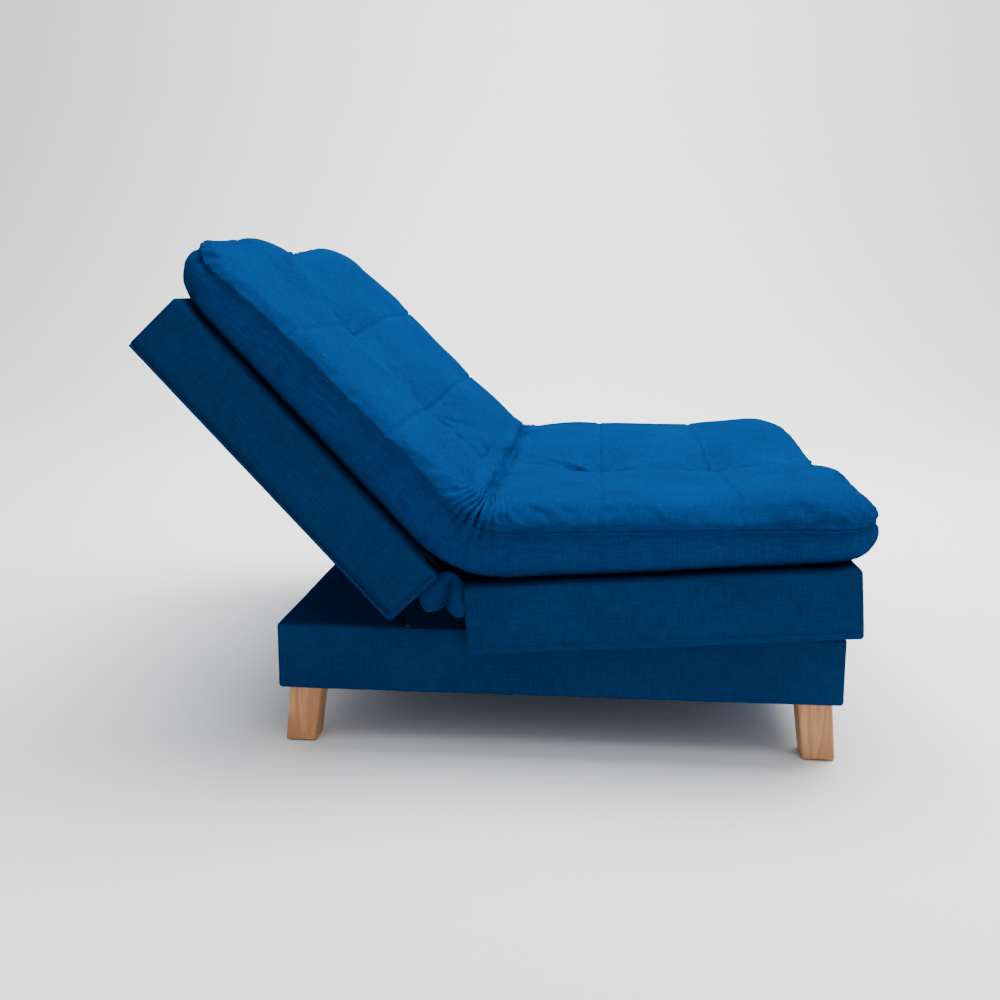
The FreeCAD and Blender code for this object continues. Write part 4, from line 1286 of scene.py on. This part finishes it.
@dataclass
class Gusset:
    """The pleated cloth gusset that closes the gap between the boxes beside a hinge."""

    side: str
    sign: float
    seat: BoxPlace
    back: BoxPlace
    seat_low: float = 0.036
    back_low: float = 0.013
    high: float = 0.097
    rest: float = 0.1925
    inner: float = 0.508
    outer: float = 0.523
    # How far the lower part, coloured as painted shade, is set in from the outer face.
    painted_shade_setback: float = 0.012
    lobe_step: float = 0.004
    lobe_puff: float = 0.020
    crease: float = 0.0040
    crown_rise: float = 0.014
    cells: int = 46

    def build(self, palette: Palette) -> bpy.types.Object:
        """Build two puffed lobes with a pinch between them, and under them a near-black navy
        sheet that paints the shade of the gap.

        Args:
            palette: The finishes.

        Returns:
            The gusset.
        """
        mesh = bmesh.new()
        sheets = []
        for outside in (True, False):
            grid = bmesh.ops.create_grid(mesh, x_segments=self.cells, y_segments=self.cells,
                                         size=1.0)
            flat = (np.array([vert.co[:] for vert in grid["verts"]]) + 1.0) / 2
            for vert, spot in zip(grid["verts"], self._places(flat[:, 0], flat[:, 1], outside)):
                vert.co = spot
            sheets.append(grid["verts"])
        rim = [edge for edge in mesh.edges if edge.is_boundary]
        bmesh.ops.bridge_loops(mesh, edges=rim)
        bmesh.ops.recalc_face_normals(mesh, faces=mesh.faces)
        piece = new_piece(f"gusset_pleats_{self.side}", mesh)
        cloth_map(piece, Matrix.Identity(4))
        palette.dress(piece, Shade.COVER_PAINTED_SHADE)
        piece.data.materials.append(palette[Shade.LINING_PAINTED_SHADE])
        # Faces below the hem, and the whole inner sheet, take the near-black navy as painted
        # shade.
        below = np.concatenate([flat[:, 1] < self._hem(flat[:, 0]), np.ones(len(flat), bool)])
        for polygon in piece.data.polygons:
            polygon.material_index = int(below[list(polygon.vertices)].all())
        seat_end = self.seat.matrix() @ Vector((0.0, 0.0, self.high))
        back_end = self.back.matrix() @ Vector((0.0, 0.0, self.high))
        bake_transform(piece)
        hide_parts(f"gusset_{self.side}")
        return piece

    def _places(self, along: np.ndarray, up: np.ndarray, outside: bool) -> np.ndarray:
        """Spread a sheet between the seat box's end and the back box's end.

        Args:
            along: 0 at the seat box to 1 at the back box.
            up: 0 at the low edge to 1 at the high edge.
            outside: Whether this is the sheet that shows.

        Returns:
            The places.
        """
        ends = []
        for place, low, inside in ((self.seat, self.seat_low, -0.004),
                                   (self.back, self.back_low, 0.004)):
            matrix = place.matrix()
            height = low + (self.high - low) * up
            ends.append(np.array([(matrix @ Vector((0.0, inside, value)))[1:]
                                  for value in height]))
        first, second = ends
        spot = first + (second - first) * along[:, None]
        hem = self._hem(along)
        above = np.clip((up - hem) / (1.0 - hem), 0.0, 1.0)
        place = np.column_stack([along, up, up * 0])
        creases = noise_at(place * (1.0, 2.0, 1.0), 4.6, 95.0 + self.sign)
        creases = self.crease * (creases - 0.6 * np.abs(creases))
        puff = self.lobe_puff * self._lobes(along) + creases
        puff *= np.sin(math.pi * above ** 0.62) ** 0.55
        bulge = np.where(up > hem, self.lobe_step + puff, 0.0)
        depth = self.outer - self.painted_shade_setback + bulge
        if not outside:
            depth = np.full_like(along, self.inner)
        rise = spot[:, 1] + self.crown_rise * np.sin(math.pi * along) * up ** 2
        sag = (rise - self.rest) * (1.0 - up) ** 2 * smooth_step(1.0, 0.75, along)
        return np.column_stack([self.sign * depth, spot[:, 0], rise - sag])

    @staticmethod
    def _lobes(along: np.ndarray) -> np.ndarray:
        """Give the two puffed lobes, 0 at the pinch between them."""
        return np.abs(np.sin(2 * math.pi * np.clip(along, 0.0, 1.0) ** 0.9)) ** 0.6

    def _hem(self, along: np.ndarray) -> np.ndarray:
        """Give how high the lobes' lower edge runs; below it the outer sheet takes the
        near-black navy of painted shade.
        """
        return 0.56 - 0.16 * self._lobes(along)


# --------------------------------------------------------------------------------------------
# Studio


@dataclass(frozen=True)
class SoftLight:
    """A large square light: its place, what it is aimed at, its side and its power."""

    name: str
    place: tuple[float, float, float]
    target: tuple[float, float, float]
    side: float
    power: float

    def hang(self) -> None:
        """Put the light in the scene."""
        lamp = bpy.data.lights.new(self.name, "AREA")
        lamp.size = self.side
        lamp.energy = self.power
        holder = bpy.data.objects.new(self.name, lamp)
        holder.location = self.place
        aim = Vector(self.target) - Vector(self.place)
        holder.rotation_euler = aim.to_track_quat("-Z", "Y").to_euler()
        bpy.context.scene.collection.objects.link(holder)


SOFA_MIDDLE = (0.0, 0.0, 0.3)
LIGHTS = (SoftLight("key_light", (0.8, -1.6, 3.0), SOFA_MIDDLE, 2.2, 135.0),
          SoftLight("top_light", (0.5, 0.0, 3.2), SOFA_MIDDLE, 2.6, 165.0),
          SoftLight("side_light", (-1.7, -0.9, 3.3), SOFA_MIDDLE, 1.6, 24.0),
          SoftLight("sweep_light", (2.6, 0.0, 4.2), (7.0, 0.0, 1.6), 3.0, 420.0))


@dataclass
class Studio:
    """A pale floor, soft lights and the camera."""

    eye: tuple[float, float, float] = (-2.121, -0.1315, 0.700)
    pan: float = 5.57
    tilt: float = -9.235
    lens: float = 40.39
    shift: tuple[float, float] = (0.013, -0.0306)
    sweep_start: float = 3.0
    sweep_radius: float = 4.0
    sweep_steps: int = 24
    sky_strength: float = 0.60

    def build(self) -> None:
        """Build the floor, the lights and the camera."""
        self._floor()
        self._lights()
        self._camera()

    def _floor(self) -> None:
        """Lay a wide pale floor that sweeps up far behind the sofa."""
        mesh = bmesh.new()
        profile = [(-14.0, 0.0), (self.sweep_start, 0.0)]
        for step in range(1, self.sweep_steps + 1):
            angle = math.pi / 2 * step / self.sweep_steps
            profile.append((self.sweep_start + self.sweep_radius * math.sin(angle),
                            self.sweep_radius * (1.0 - math.cos(angle))))
        profile.append((self.sweep_start + self.sweep_radius, 9.0))
        lines = [[mesh.verts.new((x, y, z)) for y in (-16.0, 16.0)] for x, z in profile]
        for (one, two), (three, four) in zip(lines, lines[1:]):
            mesh.faces.new((one, three, four, two))
        floor = new_piece("studio_floor", mesh)
        tree = NodeTree("pale_floor")
        floor.data.materials.append(tree.surface({"Base Color": (0.93, 0.93, 0.94, 1.0),
                                                  "Roughness": 0.9}))

    def _lights(self) -> None:
        """Hang large soft lights and a pale sky."""
        world = bpy.data.worlds.new("studio_sky")
        bpy.context.scene.world = world
        world.use_nodes = True
        sky = world.node_tree.nodes["Background"]
        sky.inputs["Color"].default_value = (0.95, 0.97, 1.0, 1.0)
        sky.inputs["Strength"].default_value = self.sky_strength
        for light in LIGHTS:
            light.hang()

    def _camera(self) -> None:
        """Set up the camera."""
        data = bpy.data.cameras.new("camera")
        data.lens = self.lens
        data.sensor_width = 36.0
        data.shift_x, data.shift_y = self.shift
        data.dof.use_dof = False
        camera = bpy.data.objects.new("camera", data)
        camera.location = self.eye
        pan, tilt = math.radians(self.pan), math.radians(self.tilt)
        ahead = Vector((math.cos(tilt) * math.cos(pan), math.cos(tilt) * math.sin(pan),
                        math.sin(tilt)))
        camera.rotation_euler = ahead.to_track_quat("-Z", "Y").to_euler()
        bpy.context.scene.collection.objects.link(camera)
        bpy.context.scene.camera = camera


NODE_SHADES: dict[Shade, tuple[str, ...]] = {
    Shade.DUST: ("base_dust_cover",),
    Shade.FOAM: ("seat_foam", "back_foam"),
    Shade.LEG: ("leg_front_left", "leg_front_right", "leg_rear_left", "leg_rear_right"),
    Shade.RAIL_X: ("base_front_rail", "base_rear_rail", "seat_front_rail", "seat_rear_rail",
                   "back_top_rail", "back_bottom_rail"),
    Shade.RAIL_Y: ("base_side_rail_left", "base_side_rail_right", "base_cross_rails",
                   "seat_side_rail_left", "seat_side_rail_right", "back_side_rail_left",
                   "back_side_rail_right", "base_corner_blocks"),
    Shade.SLAT: ("seat_slats", "back_slats"),
    Shade.BOARD: ("base_deck", "back_rear_board", "back_end_board"),
    Shade.PAINTED: ("hinge_bracket_left", "hinge_bracket_right", "seat_hinge_arm_left",
                    "seat_hinge_arm_right", "back_hinge_arm_left", "back_hinge_arm_right",
                    "pawl_left", "pawl_right"),
    Shade.ZINC: ("leg_plates", "leg_bolts", "bracket_screws", "seat_arm_screws",
                 "back_arm_screws", "pawl_pins", "seat_pivot_pins", "back_pivot_pins",
                 "pivot_washers", "pawl_springs"),
    Shade.RUBBER: ("leg_glides", "seat_buffers"),
}


HINGE_SLOTS = tuple(((min(sign * 0.489, sign * 0.506), -0.020, -0.020),
                     (max(sign * 0.489, sign * 0.506), 0.034, 0.120)) for _, sign in SIDES)
SEAT_SLOTS = tuple(((min(sign * 0.456, sign * 0.5065), -0.011, -0.020),
                    (max(sign * 0.456, sign * 0.5065), 0.020, 0.088)) for _, sign in SIDES)
PIPING = tuple(((sign * 0.5325, 0.003, 0.0025), (sign * 0.5325, 0.557, 0.0025))
               for _, sign in SIDES)
BACK_SEAMS = tuple(((sign * 0.5315, 0.0075, 0.096), (sign * 0.5315, 0.0075, 0.009),
                    (sign * 0.5315, 0.556, 0.009)) for _, sign in SIDES)
SEAT_SEAMS = tuple(((sign * 0.5315, -0.565, 0.010), (sign * 0.5315, -0.004, 0.010))
                   for _, sign in SIDES)


def main() -> None:
    """Build every piece in order."""
    logging.basicConfig(level=logging.INFO, format="%(name)s: %(message)s")
    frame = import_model()
    palette = Palette()
    for shade, names in NODE_SHADES.items():
        for name in names:
            palette.dress_node(frame["nodes"][name], shade)
    seat, back = seat_place(frame), back_place(frame)
    base_low, base_high = (tuple(corner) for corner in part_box("base_cover"))
    boxes = (
        UpholsteredBox("base_upholstery", base_low, base_high, "base", "base_cover",
                       Matrix.Identity(4), seed=3.0),
        UpholsteredBox("seat_box_upholstery", (-0.53, -0.57, 0.0), (0.53, 0.0, 0.1), "seat",
                       "seat_cover", seat.matrix(), seed=5.0, slots=SEAT_SLOTS),
        UpholsteredBox("back_box_upholstery", (-0.53, 0.0, 0.0), (0.53, 0.56, 0.1), "back",
                       "back_cover", back.matrix(), seed=8.0, proud=0.0006, slack=0.0003,
                       slots=HINGE_SLOTS))
    for box in boxes:
        LOG.info("built %s", box.build(palette).name)
    shape = TopperShape(seat, back)
    halves = (
        TopperHalf("seat_topper_mattress", shape, -1.0, "seat", "seat_topper", 11.0,
                   bend_reach=0.11, pucker=0.0017, shoulder=(0.098, 0.088),
                   corner_pleat=0.0016, gather_spread=0.72),
        TopperHalf("back_topper_mattress", shape, 1.0, "back", "back_topper", 17.0,
                   bend_reach=0.17, pucker=0.0007, shoulder=(0.098, 0.100),
                   corner_pleat=0.0060, gather_spread=1.15))
    for half in halves:
        for piece in half.build(palette):
            LOG.info("built %s", piece.name)
    for trim in (BoxTrim("back_box_piping", "back", back.matrix(), PIPING, 0.0026,
                         ("back_piping",)),
                 BoxTrim("back_box_seams", "back", back.matrix(), BACK_SEAMS, 0.0011),
                 BoxTrim("seat_box_seams", "seat", seat.matrix(), SEAT_SEAMS, 0.0010)):
        LOG.info("built %s", trim.build(palette).name)
    for side, sign in SIDES:
        LOG.info("built %s", Gusset(side, sign, seat, back).build(palette).name)
    Studio().build()


if __name__ == "__main__":
    main()
